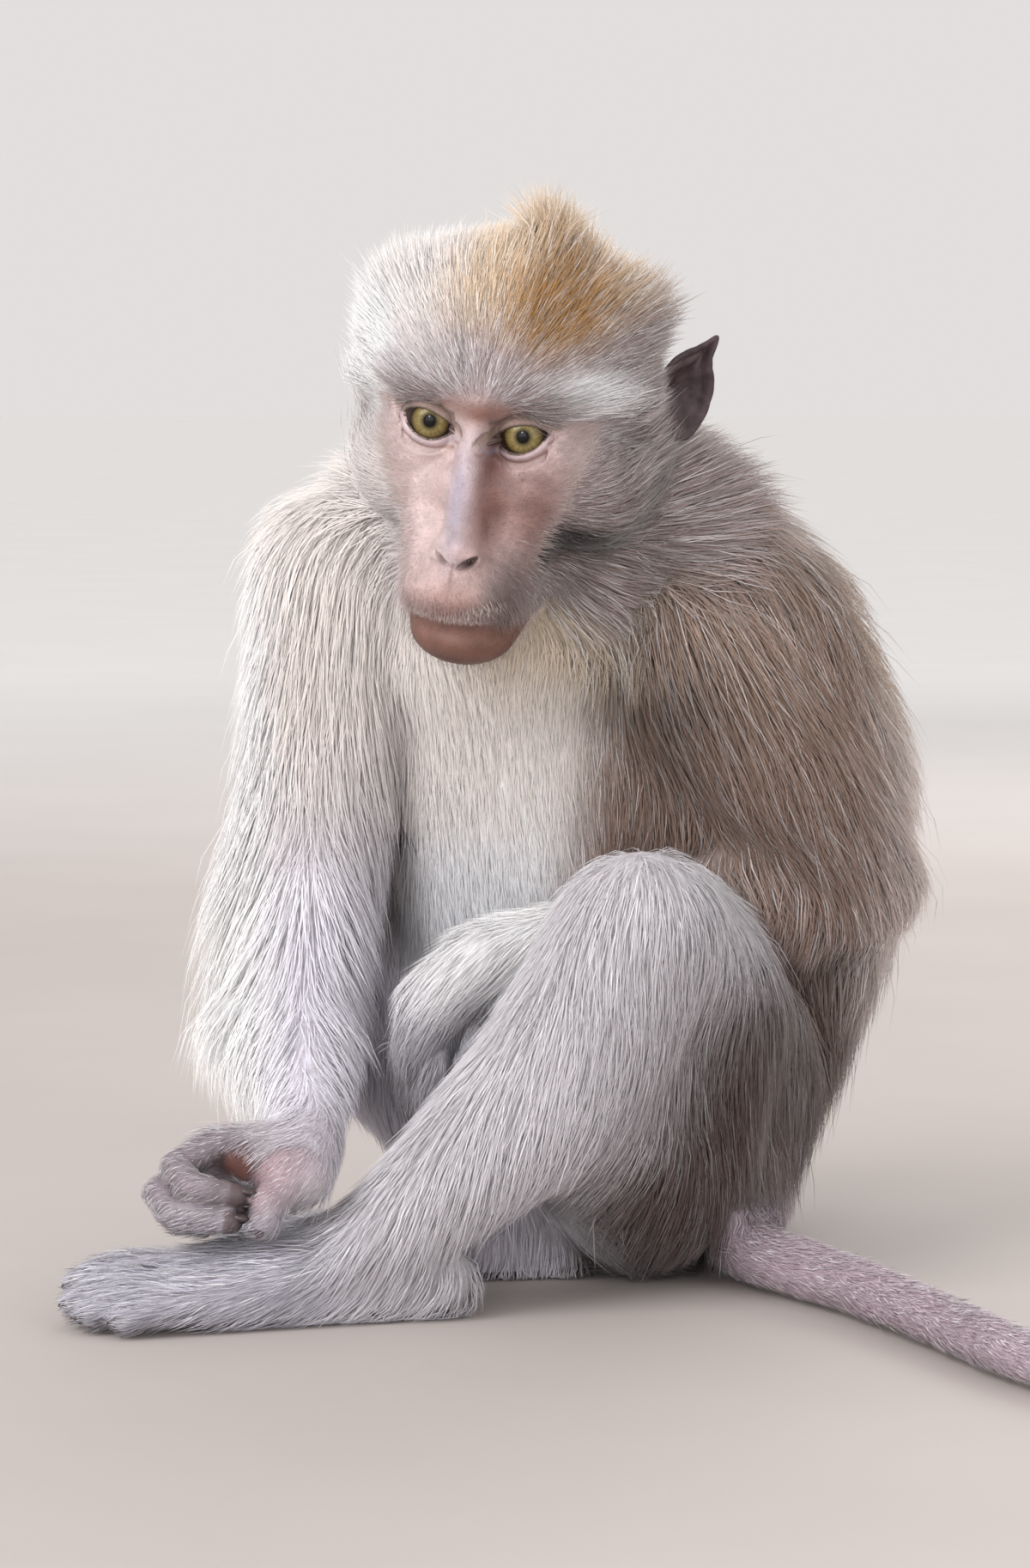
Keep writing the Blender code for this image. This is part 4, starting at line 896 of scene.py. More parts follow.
def body_tone(points):
    """The coat's base colour on the trunk, limbs and tail, with painted rim light on the right edges and
    painted light on the edges that face the key light.
    """
    across, depth, up = points.T
    back = ((points - np.array(TRUNK_AXIS)) @ TORSO_ROWS)[:, 1]
    throat = step_up(up, 0.190, 0.235) * step_up(across, -0.095, -0.060) * step_up(-back, 0.010, 0.036)
    front = layered(BELLY_TONE, (CHEST_TONE, step_up(up, 0.13, 0.18)), (THROAT, throat))
    side = layered(
        BROWN_DARK,
        (BROWN, step_up(up, 0.10, 0.20)),
        (GOLD, step_up(up, 0.15, 0.25) * step_up(back, -0.015, 0.030)),
        # painted rim light along the trunk's right edge
        (RIM_LIT_TONE, step_up(across, 0.038, 0.070) * step_up(up, 0.07, 0.14)),
    )
    pale = 1 - step_up(across + 0.20 * (0.20 - up) + 0.9 * np.maximum(depth + 0.045, 0), -0.046, -0.016)
    trunk = layered(
        side,
        (front, pale * (1 - step_up(back, -0.018, 0.014))),
        (CREAM, step_up(-across, 0.085, 0.115) * step_up(-back, -0.050, -0.005)),
    )
    arm_right = mix(LILAC, CREAM, step_up(up, 0.12, 0.22))
    # the right arm's outer edge: white fringe hair, and painted light where the key light falls on it
    arm_right = mix(arm_right, WHITE, step_up(-across, 0.132, 0.146))
    arm_left = mix(BROWN_DARK * 1.22, BROWN * 1.20, step_up(up, 0.15, 0.22))
    # painted rim light along the left arm's right edge
    arm_left = mix(arm_left, RIM_LIT_TONE, 0.8 * step_up(across, 0.044, 0.072))
    arm_left = mix(WHITE, arm_left, np.maximum(step_up(across, -0.030, 0.022), step_up(up, 0.125, 0.150)))
    edge = (across + 0.0488) * 0.857 - (up - 0.1494) * 0.515
    leg = mix(THIGH_TONE, KNEE_TONE, step_up(up, 0.100, 0.140))
    leg = mix(SHIN_TONE, leg, step_up(edge, 0.054, 0.088))
    # the shin's front edge: white hair, and painted light where the key light falls on it
    leg = mix(WHITE, leg, step_up(edge, -0.012, 0.014))
    hand = layered(
        HAND_TONE,
        (PALM_TONE * 1.10, thumb_share(points) * (across > PALM_EDGE)),
        (DIGIT_TONE * 1.2, 0.6 * tip_share(points, 0.004, 0.013) * (across < -0.1430)),
    )
    table = {
        "seat": BROWN_DARK,
        "back": trunk,
        "front": trunk,
        "mantle": trunk,
        "arm_left": arm_left,
        "arm_right": arm_right,
        "hand_right": hand,
        "hand_left": LILAC * 0.62,
        "leg_left": leg,
        "leg_right": BROWN,
        "shin_right": LILAC,
        "foot": FOOT_TONE,
        "tail": TAIL_TONE,
    }
    weights = part_weights(points)
    colour = np.zeros((len(points), 3))
    for number, part in enumerate(PARTS):
        colour += weights[:, number : number + 1] * table[part.name]
    return colour


def spot(local, centre, radii):
    return np.exp(-(((local - centre) / radii) ** 2).sum(1))


def patch(local, gain, centre, radii):
    """A spot that is stronger than 1 in its middle, cut off there."""
    return np.clip(gain * spot(local, centre, radii), 0, 1)


def head_tone(local):
    """The coat's base colour on the head, from its crest to its cheeks."""
    left, forward, up = local.T
    colour = layered(
        HEAD_GREY,
        (CROWN_GOLD, step_up(up, 22, 38) * step_up(left, -34, -8)),
        (CREAM, step_up(up, 14, 32) * step_up(-left, 2, 26)),
        (TEMPLE_TONE, step_up(left, 34, 46) * step_up(up, -4, 10)),
        (GOLD_DARK, patch(local, 1.8, (17, -27, 32), (14, 24, 12))),
        (CREST_TONE, patch(local, 1.4, (8, -40, 66), (13, 18, 13))),
        (WHITE, patch(local, 1.7, (28, -12, 11), (9, 15, 6))),
        (WHITE, patch(local, 1.9, (-38, -22, 13), (11, 20, 17))),
    )
    angle = np.arctan2(left, up - 2)
    streak = np.sin(angle * 43 + 3 * np.sin(angle * 13)) * spot(local, (0, 0, 20), (28, 30, 17))
    under = step_up(-up - 0.25 * forward, 62, 76) * step_up(20 - np.abs(left - 4), -10, 8)
    return layered(
        colour * (1 - 0.36 * np.clip(streak, 0, 1))[:, None],
        (BROW_RED, patch(local, 0.72, (0, 0, 7.4), (26, 18, 4.2))),
        (CHEEK_TONE, 0.9 * (step_up(-up, -2, 14) * step_up(left, -24, 0))),
        (CREAM, 0.72 * (step_up(-up, 0, 20) * step_up(-left, 18, 30))),
        (HEAD_DARK, patch(local, 2.3, (26, -10, -38), (9, 18, 6.5))),
        (HEAD_DARK, patch(local, 0.5, (-26, -8, -40), (5, 14, 6))),
        (THROAT, under),
    )


# Colour, strength, centre and radii of the marks on the bare face, painted shade and a painted highlight
# among them
FACE_MARKS = (
    # painted shade down the right side of the nose bridge, over skin that is redder there
    (NOSE_SHADE, 0.95, (6.2, 4, -10), (3.8, 30, 18)),
    # painted shade on the right side of the nose and on the right cheek
    (NOSE_SIDE, 0.90, (8.6, 8, -24), (6.0, 30, 16)),
    (NOSE_SIDE, 0.92, (21, 0, -26), (12, 30, 19)),
    (NOSE_SIDE, 0.15, (-10, 8, -24), (5, 30, 16)),
    # painted highlight on the ridge of the nose, over its own lilac skin
    (NOSE_TONE, 0.9, (-1.8, 12, -20), (3.9, 30, 18)),
    (BROW_RED, 0.9, (1.5, 0, 6.5), (9, 22, 4.2)),
    (BROW_RED, 0.8, (17, 0, 8.4), (14, 20, 3.6)),
    (BROW_RED, 0.8, (-17, 0, 8.4), (14, 20, 3.6)),
    (LIP_TONE, 0.80, (2, 22, -52), (17, 26, 11)),
)


def ring_at(distance, middle, width):
    return np.exp(-(((distance - middle) / width) ** 2))


def face_tone(local):
    """The bare face's colour, with painted shade in its creases, nostrils and mouth line and on the nose's
    right side, and a painted highlight on the nose's ridge.
    """
    left, forward, height = local.T
    colour = layered(
        FACE_TONE,
        *((over, patch(local, *rest)) for over, *rest in FACE_MARKS),
        (CHEEK_TONE * 0.42, 0.85 * patch(local, 1.2, (15, 12, -48), (7, 26, 10))),
        (CHIN_TONE, step_up(-height, 56, 59)),
        (LIP_TONE, patch(local, 0.45, (-3, 18, -62), (12, 20, 5))),
    )
    for side in (1, -1):
        distance, up = lid_distance(local, side)
        out = left - EYE_PLACES[side][0]
        front = (forward > -16) & (np.abs(out) < 14)
        corner = np.clip(1 - (out / LID_WIDTHS[side]) ** 2, 0.2, 1)
        rim = 0.12 + (0.43 + 0.45 * step_up(up, -2, 1)) * corner
        pit = ((left * side - 4.2) / 2.9) ** 2 + ((height + 38.6) / (1.2 + 0.4 * side)) ** 2
        upper = step_up(up, -1.0, 2.0) * front * (1 - step_up(distance, 2.6, 4.6))
        colour = layered(
            colour,
            (LID_TONE, 0.75 * upper),
            # painted shade in the upper lid's crease
            (LID_DARK, 0.60 * (ring_at(distance, 3.7, 0.55) * step_up(up, 0, 2) * front)),
            (NOSE_TONE, 0.45 * (ring_at(distance, 1.3, 0.6) * step_up(-up, -1, 1) * front)),
            (NOSE_SIDE, 0.6 * (ring_at(distance, 2.8, 0.5) * step_up(-up, 0, 2) * front)),
            (LID_DARK, front * (1 - step_up(distance, 0.1, rim)) * 0.95),
            # painted shade in the nostrils
            (LID_DARK, (0.62 + 0.30 * side) * np.exp(-pit) * (forward > 5)),
        )
    # painted shade in the line of the mouth
    return mix(colour, LID_DARK, np.exp(-((mouth_gap(local) / 0.9) ** 2)) * (forward > 0))


def mouth_gap(local):
    """How far each point is above the line of the mouth, in millimetres, and far beside it."""
    side = local[:, 0] / MOUTH_SIDE
    return local[:, 2] - mouth_level(side) + 9 * step_up(np.abs(side), 1.0, 1.2)


def coat_tone(points):
    colour = mix(body_tone(points), head_tone(to_head(points)), head_share(points))
    # painted shadow in the ruff under the head's right side, and painted shade on the right flank, warmer
    # there
    ruff = 0.66 * spot(points, (-0.014, -0.090, 0.214), (0.021, 0.050, 0.019))
    flank_shade = 0.60 * spot(points, (0.054, -0.030, 0.090), (0.020, 0.060, 0.026))
    return colour * (1 - ruff[:, None] - flank_shade[:, None] * (1.05, 1.12, 1.16))


def skin_tone(points, length):
    """Bare skin where the coat is short, and the coat's own shade, darker, where it is deep."""
    bare = layered(
        DIGIT_TONE,
        (face_tone(to_head(points)), step_up(head_share(points), 0.2, 0.7)),
        (PALM_TONE, thumb_share(points) * (points[:, 0] > PALM_EDGE)),
        (HOLLOW_TONE, hollow_share(points)),
    )
    under = coat_tone(points)
    under = under * (0.78 + 0.16 * step_up(under.mean(1), 0.35, 0.75))[:, None]
    return mix(bare, under, step_up(length, 0.0030, 0.0075))


# Materials: each look adds its nodes and returns what the shader's sockets get

def fill(tree, target, values):
    """Sets a node's sockets, each to a value or to what another node gives."""
    for name, value in values.items():
        if isinstance(value, bpy.types.NodeSocket):
            tree.links.new(value, target.inputs[name])
        else:
            target.inputs[name].default_value = value


def node(tree, kind, values, output=0, **settings):
    """Adds a node with its sockets and settings and returns one of its outputs."""
    made = tree.nodes.new("ShaderNode" + kind)
    for name, value in settings.items():
        setattr(made, name, value)
    fill(tree, made, values)
    return made.outputs[output]


def position(tree):
    return node(tree, "NewGeometry", {})


def tint(tree):
    return node(tree, "VertexColor", {}, layer_name="tint")


def strand(tree):
    return node(tree, "UVMap", {}, uv_map="strand")


def noise(tree, place, scale, detail=2):
    return node(tree, "TexNoise", {"Vector": place, "Scale": scale, "Detail": detail})


def shaded(tree, colour, amount, low, high):
    """A colour made darker and lighter by a noise."""
    bounds = {"From Min": 0.3, "From Max": 0.7, "To Min": low, "To Max": high}
    gain = node(tree, "MapRange", {"Value": amount, **bounds})
    return node(tree, "VectorMath", {0: colour, "Scale": gain}, operation="SCALE")


def relief(tree, height, strength, distance):
    return node(tree, "Bump", {"Height": height, "Strength": strength, "Distance": distance})


def ramp(tree, amount, *stops):
    """A colour ramp with its places and colours from the first to the last."""
    first, *middle, last = stops
    made = tree.nodes.new("ShaderNodeValToRGB")
    steps = made.color_ramp.elements
    for number, (place, colour) in enumerate((first, last)):
        steps[number].position = place
        steps[number].color = (*colour, 1)
    for place, colour in middle:
        steps.new(place).color = (*colour, 1)
    fill(tree, made, {"Fac": amount})
    return made.outputs["Color"]


def material(name, look):
    made = bpy.data.materials.new(name)
    made.use_nodes = True
    tree = made.node_tree
    fill(tree, tree.nodes["Principled BSDF"], look(tree))
    return made


def skin_look(tree):
    place = position(tree)
    pores = node(tree, "TexVoronoi", {"Vector": place, "Scale": 1500})
    rough = node(tree, "Math", {0: pores, 1: noise(tree, place, 700, 4)}, operation="ADD")
    return {
        "Base Color": shaded(tree, tint(tree), noise(tree, place, 160, 6), 0.78, 1.12),
        "Normal": relief(tree, rough, 0.35, 0.0004),
        "Roughness": 0.52,
        "Subsurface Weight": 0.12,
        "Subsurface Scale": 0.004,
    }


def coat_look(tree):
    place = node(tree, "Mapping", {"Vector": strand(tree), "Scale": (5.0, 0.6, 1.0)})
    return {
        "Base Color": shaded(tree, tint(tree), noise(tree, place, 3.0), 0.85, 1.10),
        "Roughness": 0.55,
        "Specular IOR Level": 0.35,
        "Sheen Weight": 0.30,
        "Sheen Roughness": 0.5,
    }


# The coat

def paint(mesh, colours):
    """Writes one colour for each vertex as the attribute that the materials read."""
    layer = mesh.color_attributes.new("tint", "FLOAT_COLOR", "POINT")
    values = np.ones((len(colours), 4), np.float32)
    values[:, :3] = np.clip(colours, 0, 1)
    layer.data.foreach_set("color", values.ravel())


# Place along the tuft and share of its width
SHORT_RINGS = ((0.45, 1.0),)
LONG_RINGS = ((0.28, 1.0), (0.66, 0.78))
SIDES = 3
SOFTNESS = 0.80  # how far the coat is lit like the body under it and not hair by hair
# The tufts are darker at the root and lighter at the tip: partly the hairs' own darker bases and paler tips,
# partly painted shade deep among the tufts
ROOT_SHADE = 0.89
TIP_SHADE = 1.08
PATCH = 0.003  # a tuft's place in the unwrap


def tuft_faces(rings):
    """The corners of one tuft's faces: a root point, rings of three and a tip point."""
    root, tip = 0, rings * SIDES + 1
    corners, sizes = [], []
    for side in range(SIDES):
        after = (side + 1) % SIDES
        corners += [root, 1 + after, 1 + side]
        sizes.append(3)
        for ring in range(rings - 1):
            low, high = 1 + ring * SIDES, 1 + (ring + 1) * SIDES
            corners += [low + side, low + after, high + after, high + side]
            sizes.append(4)
        last = 1 + (rings - 1) * SIDES
        corners += [last + side, last + after, tip]
        sizes.append(3)
    return np.array(corners), np.array(sizes)


def tuft_mesh(name, root, middle, end, across, width, colours, spots, pick, outward, rings):
    """Many closed, tapered, curved tufts as one mesh: root, middle and end bend each one."""
    count = len(root)
    per = len(rings) * SIDES + 2
    points = np.zeros((count, per, 3))
    shades = np.zeros((count, per, 3))
    normals = np.repeat(outward[:, None, :], per, 1)
    strand = np.zeros((per, 2))
    points[:, 0], points[:, -1] = root, end
    # darker at the root, as the hairs' own darker base and as painted shade among the tufts; lighter at the
    # tip
    shades[:, 0], shades[:, -1] = colours * ROOT_SHADE, colours * TIP_SHADE
    strand[0], strand[-1] = (0.5, 0.0), (0.5, 1.0)
    for ring, (reach, spread) in enumerate(rings):
        centre = (1 - reach) ** 2 * root + 2 * reach * (1 - reach) * middle + reach**2 * end
        along = unit(2 * (1 - reach) * (middle - root) + 2 * reach * (end - middle))
        side = unit(across - along * (across * along).sum(1, keepdims=True))
        up = np.cross(along, side)
        for corner in range(SIDES):
            turn = 2 * math.pi * corner / SIDES + math.pi / 2
            offset = side * math.cos(turn) + up * (0.6 * math.sin(turn))
            number = 1 + ring * SIDES + corner
            points[:, number] = centre + offset * (width * spread / 2)[:, None]
            # the painted shade and the hairs' banding fade from the root to the tip
            shades[:, number] = colours * (ROOT_SHADE + (TIP_SHADE - ROOT_SHADE) * reach**0.7)
            normals[:, number] = unit(outward * SOFTNESS + unit(offset) * (1 - SOFTNESS))
            strand[number] = (0.5 + 0.5 * math.cos(turn), reach)
    points[:, :, 2] = np.maximum(points[:, :, 2], FLOOR_LIFT)
    corners, sizes = tuft_faces(len(rings))
    mesh = bpy.data.meshes.new(name)
    mesh.vertices.add(count * per)
    mesh.vertices.foreach_set("co", points.astype(np.float32).ravel())
    loops = (corners[None, :] + per * np.arange(count)[:, None]).ravel()
    starts = np.concatenate(([0], np.cumsum(np.tile(sizes, count))[:-1]))
    mesh.loops.add(len(loops))
    mesh.loops.foreach_set("vertex_index", loops.astype(np.int32))
    mesh.polygons.add(count * len(sizes))
    mesh.polygons.foreach_set("loop_start", starts.astype(np.int32))
    mesh.polygons.foreach_set("use_smooth", np.ones(count * len(sizes), bool))
    mesh.update(calc_edges=True)
    mesh.normals_split_custom_set_from_vertices(normals.reshape(-1, 3).astype(np.float32))
    paint(mesh, shades.reshape(-1, 3))
    local = strand[corners]
    patch = spots[:, None, :] + (local - 0.5)[None] * PATCH
    bake = mesh.uv_layers.new(name="OFBake")
    bake.data.foreach_set("uv", patch.astype(np.float32).ravel())
    fine = mesh.uv_layers.new(name="strand")
    shifted = local[None] + pick[:, None, None] * (37.0, 11.0)
    fine.data.foreach_set("uv", shifted.astype(np.float32).ravel())
    return placed(name, mesh)


class Surface:
    """The skin's triangles with their corners, areas, normals and places in the unwrap."""

    def __init__(self, obj):
        mesh = obj.data
        mesh.calc_loop_triangles()
        self.points = read(mesh.vertices, "co")
        self.normals = read(mesh.vertices, "normal")
        self.corners = read(mesh.loop_triangles, "vertices", 3, np.int32)
        loops = read(mesh.loop_triangles, "loops", 3, np.int32)
        spots = read(mesh.uv_layers["OFBake"].data, "uv", 2)
        self.spots = spots[loops]
        a, b, c = (self.points[self.corners[:, i]] for i in range(3))
        self.areas = np.linalg.norm(np.cross(b - a, c - a), axis=1) / 2
        self.middles = (a + b + c) / 3
        self.tree = BVHTree.FromPolygons(self.points.tolist(), self.corners.tolist())

    def scatter(self, density, count, rng):
        """Places spread over the skin as the density says: points, normals, unwrap places."""
        share = np.cumsum(self.areas * density)
        draws = (np.arange(count) + rng.random(count)) / count * share[-1]
        chosen = np.minimum(np.searchsorted(share, draws), len(share) - 1)
        first, second = rng.random(count), rng.random(count)
        flip = first + second > 1
        first, second = np.where(flip, 1 - first, first), np.where(flip, 1 - second, second)
        weights = np.stack((1 - first - second, first, second), 1)[:, :, None]
        points = (self.points[self.corners[chosen]] * weights).sum(1)
        normals = unit((self.normals[self.corners[chosen]] * weights).sum(1))
        spots = (self.spots[chosen] * weights).sum(1)
        return points, normals, spots

    def follow(self, points):
        """The nearest places on the skin and their normals."""
        places = np.zeros_like(points)
        ways = np.zeros_like(points)
        for number, point in enumerate(points):
            place, normal, _, _ = self.tree.find_nearest(point)
            places[number] = place
            ways[number] = normal
        return places, ways


CLUMP = 0.0048  # how far apart the locks are that neighbouring tufts are drawn into
STRAY_SHARE = 0.02


def wave(points, scale, seed):
    """Smooth noise between -1 and 1 from a few sine waves in fixed odd directions."""
    rng = np.random.default_rng(seed)
    total = np.zeros(len(points))
    for _ in range(5):
        way = rng.normal(size=3)
        total += np.sin(points @ way / scale + rng.random() * 7)
    return total / 5


def comb(surface, points, normals, rng):
    """Bends a tuft from each root along the lie of the coat and draws neighbours into locks."""
    flow, length, lift, share = coat_at(points)
    sway = np.stack([wave(points, 0.012, seed) for seed in (11, 12, 13)], 1)
    flow = unit(flow) + 0.13 * sway + 0.11 * rng.normal(size=points.shape)
    flow = unit(flow - normals * (flow * normals).sum(1, keepdims=True))
    length = length * (0.80 + 0.34 * rng.random(len(points)))
    lift = lift * (0.65 + 0.7 * rng.random(len(points)))
    stray = rng.random(len(points)) < STRAY_SHARE
    length = np.where(stray, length * 1.15, length)
    lift = np.where(stray, lift + 0.10, lift)
    rise = length * np.sin(lift)
    reach = points + flow * (length * np.cos(lift))[:, None]
    ahead, ahead_normal = surface.follow(reach)
    hang = spot(points, (-0.134, -0.056, 0.128), (0.030, 0.026, 0.026))
    cling = (0.72 - 0.55 * hang)[:, None]
    outward = unit(normals * (1 - cling) + ahead_normal * cling)
    end = reach * (1 - cling) + ahead * cling + outward * rise[:, None]
    middle = points + flow * (length * 0.5)[:, None] + normals * (rise * 0.85)[:, None]
    cell = np.floor(points / CLUMP + 0.35 * sway).astype(np.int64)
    key = cell[:, 0] * 73856093 ^ cell[:, 1] * 19349663 ^ cell[:, 2] * 83492791
    _, group = np.unique(key, return_inverse=True)
    size = np.bincount(group)
    gathered = np.stack([np.bincount(group, end[:, i]) for i in range(3)], 1) / size[:, None]
    draw = 0.10 * step_up(length, 0.006, 0.018)[:, None]
    end = end * (1 - draw) + gathered[group] * draw
    return points - normals * 0.0008, middle, end, flow, length, share


def grizzle(colour, rng, amount):
    """Varies the tufts as real hairs vary: most near the base shade, some pale, some dark."""
    count = len(colour)
    bright = 1 + amount * (0.24 * rng.random(count) - 0.13)
    pale = rng.random(count) < 0.17 * amount
    dark = rng.random(count) < 0.19 * amount
    bright = np.where(dark, bright * 0.60, bright)
    colour = colour * bright[:, None]
    light = (0.22 + 0.33 * step_up(colour.mean(1), 0.08, 0.40))[:, None]
    return np.where(pale[:, None], colour * 0.5 + WHITE * light, colour)


def grizzle_amount(points, colour):
    """How strongly the hairs differ: little in the white parts, much on brow, back and arm."""
    pale = step_up(colour.mean(1), 0.42, 0.72)
    local = to_head(points)
    brow = spot(local, (0, 0, 22), (34, 34, 18))
    hand = spot(points, (-0.160, -0.155, 0.045), (0.022, 0.030, 0.018))
    deep = 1 - step_up(colour.mean(1), 0.02, 0.07)
    patch = 0.10 * wave(points, 0.010, 21) + 0.10 * wave(points, 0.028, 22)
    amount = 1.10 - 0.80 * pale + 0.2 * brow + 0.6 * hand - 0.7 * deep + 0.35 * head_share(points)
    return np.clip(amount, 0.15, 1.7), 1 + patch * (1 - 0.5 * pale)


ZONES = (
    ("coat_head", lambda points: head_share(points) > 0.5),
    ("coat_shoulders", lambda points: points[:, 2] > 0.190),
    ("coat_middle", lambda points: points[:, 2] > 0.110),
    ("coat_low", lambda points: points[:, 1] > -0.060),
    ("coat_front", lambda points: points[:, 0] < 0.020),
    ("coat_tail", lambda points: np.ones(len(points), bool)),
)
MOST_TRIANGLES = 190000
TUFTS = 216000
LONG_SHARE = 0.10  # the longest tufts, which get two rings
FACE_HAIRS = 7000
LIP_HAIRS = 1400
LIP_SPOT = ((0, 22, -53), (20, 14, 3.2))


def dress(surface, skin_length):
    """The whole coat, as pieces each under the limit, and the face's fine down."""
    rng = np.random.default_rng(SEED)
    quick = 1.0
    middles = surface.middles
    length = skin_length[surface.corners].mean(1)
    density = step_up(length, 0.0027, 0.0050)
    density = density * (1 + 3.4 * head_share(middles)) * (1 + 1.0 * (length < 0.014))
    density = density * np.where(middles[:, 2] < 0.004, 0.15, 1.0)
    count = int(TUFTS * quick)
    points, normals, spots = surface.scatter(density, count, rng)
    root, middle, end, flow, length, share = comb(surface, points, normals, rng)
    width = np.clip(0.00016 + length * 0.0095, 0.00020, 0.00041) / math.sqrt(quick)
    brow = spot(to_head(points), (0, 0, 22), (34, 34, 18))
    width = width * (0.72 + 0.56 * rng.random(count)) * (1 - 0.15 * brow) * (1 - 0.16 * share)
    colour = coat_tone(points)
    amount, shade = grizzle_amount(points, colour)
    colour = grizzle(colour * shade[:, None], rng, amount)
    outward = unit(normals * 0.85 + flow * 0.15)
    arrays = (root, middle, end, np.cross(normals, flow), width, colour, spots, rng.random(count), outward)
    long_from = np.quantile(length, 1 - LONG_SHARE)
    taken = np.zeros(count, bool)
    pieces = []
    for name, inside in ZONES:
        mine = inside(points) & ~taken
        taken |= mine
        for kind, rings, chosen in (
            ("fine", SHORT_RINGS, mine & (length < long_from)),
            ("long", LONG_RINGS, mine & (length >= long_from)),
        ):
            places = np.flatnonzero(chosen)
            batches = math.ceil(len(places) * 6 * len(rings) / MOST_TRIANGLES)
            for number, batch in enumerate(np.array_split(places, batches) if batches else []):
                label = name + "_" + kind + "_" + "abcdefgh"[number]
                pieces.append(tuft_mesh(label, *(array[batch] for array in arrays), rings))
    return pieces + [face_down(surface, quick), lip_hairs(surface)]


def face_down(surface, quick):
    """The sparse short hairs on the bare face, longest along the upper lip."""
    rng = np.random.default_rng(SEED + 1)
    local = to_head(surface.middles)
    ring = face_ring(local)
    near = (head_share(surface.middles) > 0.6) * (1 - step_up(ring, 1.12, 1.3)) * (local[:, 1] > -32)
    for side in (1, -1):
        distance, _ = lid_distance(local, side)
        near = near * np.where(local[:, 1] > -16, step_up(distance, 2.5, 5.5), 1)
    near = near * (1 - spot(local, (5, 0, -2), (5, 20, 6))) * (1 - 0.8 * step_up(-local[:, 2], 57, 60))
    nose = spot(local, (0, 14, -24), (6, 20, 18))
    density = near * (0.25 + 0.75 * step_up(ring, 0.5, 1.0)) * (1 - 0.9 * nose)
    density = density + 1.8 * near * spot(local, *LIP_SPOT)
    count = int(FACE_HAIRS * quick)
    points, normals, spots = surface.scatter(density, count, rng)
    local = to_head(points)
    ring = face_ring(local)
    lip = spot(local, *LIP_SPOT)
    flow = head_coat(local)[0]
    flow = unit(flow - normals * (flow * normals).sum(1, keepdims=True) + 0.2 * rng.normal(size=points.shape))
    stubble = spot(local, (20, 8, -48), (12, 26, 12))
    length = 0.0016 + 0.0036 * step_up(ring, 0.6, 1.15) + 0.0022 * lip + 0.0020 * stubble
    length = length * (0.7 + 0.6 * rng.random(count))
    lift = 0.35 + 0.3 * lip
    end = points + flow * (length * np.cos(lift))[:, None] + normals * (length * np.sin(lift))[:, None]
    middle = (points + end) / 2 + normals * (length * 0.12)[:, None]
    colour = mix(face_tone(local) * 0.94, DOWN_PALE, step_up(ring, 0.9, 1.2))
    colour = mix(colour, DOWN_DARK, 0.7 * stubble)
    colour = grizzle(colour, rng, 0.5 * np.clip(stubble, 0, 1))
    width = np.full(count, 0.00016) * (0.7 + 0.6 * rng.random(count))
    arrays = (middle, end, np.cross(normals, flow), width, colour, spots, rng.random(count), normals)
    return tuft_mesh("face_down", points - normals * 0.0002, *arrays, SHORT_RINGS)


def lip_hairs(surface):
    """The pale and dark hairs of the upper lip that hang over the line of the mouth."""
    rng = np.random.default_rng(SEED + 2)
    local = to_head(surface.middles)
    gap = mouth_gap(local)
    right = 3.0 + 7.0 * step_up(local[:, 0], -4, 16)
    density = step_up(gap, 0.4, 1.6) * (1 - step_up(gap, right * 0.5, right)) * (local[:, 1] > 2)
    density = density * (1 - step_up(np.abs(local[:, 0] + 1), 16.5, 18.5))
    points, normals, spots = surface.scatter(density, LIP_HAIRS, rng)
    left = to_head(points)[:, 0]
    ones = np.ones(LIP_HAIRS)
    flow = unit(head_way(np.stack((left / 26 + 0.1 * rng.normal(size=LIP_HAIRS), 0.1 * ones, -ones), 1)))
    flow = unit(flow - normals * (flow * normals).sum(1, keepdims=True))
    length = 0.0024 + 0.0018 * rng.random(LIP_HAIRS)
    end = points + flow * (length * 0.93)[:, None] + normals * (length * 0.24)[:, None]
    middle = points + flow * (length * 0.45)[:, None] + normals * (length * 0.26)[:, None]
    pale = rng.random(LIP_HAIRS) < 0.86 - 0.20 * step_up(left, 2, 14)
    colour = np.where(pale[:, None], LIP_PALE, LIP_DARK)
    width = 0.00017 + 0.00008 * rng.random(LIP_HAIRS)
    arrays = (middle, end, np.cross(normals, flow), width, colour, spots, rng.random(LIP_HAIRS), normals)
    return tuft_mesh("lip_hairs", points - normals * 0.0002, *arrays, SHORT_RINGS)


# Eyes, ears and nails
GAZE = Vector((-0.10, -0.97, -0.10))
# Distance from the middle of the iris, as a share of a quarter turn, and the colour there
EYE_STOPS = (
    (0.0, tone(3, 3, 3)),
    (0.128, tone(4, 4, 3)),
    (0.145, tone(70, 60, 36)),
    (0.24, tone(136, 122, 80)),
    (0.36, tone(118, 102, 60)),
    (0.435, tone(76, 62, 34)),
    (0.475, tone(30, 21, 14)),
    (0.60, tone(50, 32, 25)),
    (1.0, tone(110, 78, 68)),
)


def eye_look(tree):
    place = strand(tree)
    out = node(tree, "SeparateXYZ", {"Vector": place}, "Y")
    fibres = noise(tree, node(tree, "Mapping", {"Vector": place, "Scale": (60, 5, 1)}), 1.0, 3)
    return {
        "Base Color": shaded(tree, ramp(tree, out, *EYE_STOPS), fibres, 0.6, 1.25),
        "Roughness": 0.35,
        "Specular IOR Level": 0.08,
        "Coat Weight": 0.35,
        "Coat Roughness": 0.02,
    }


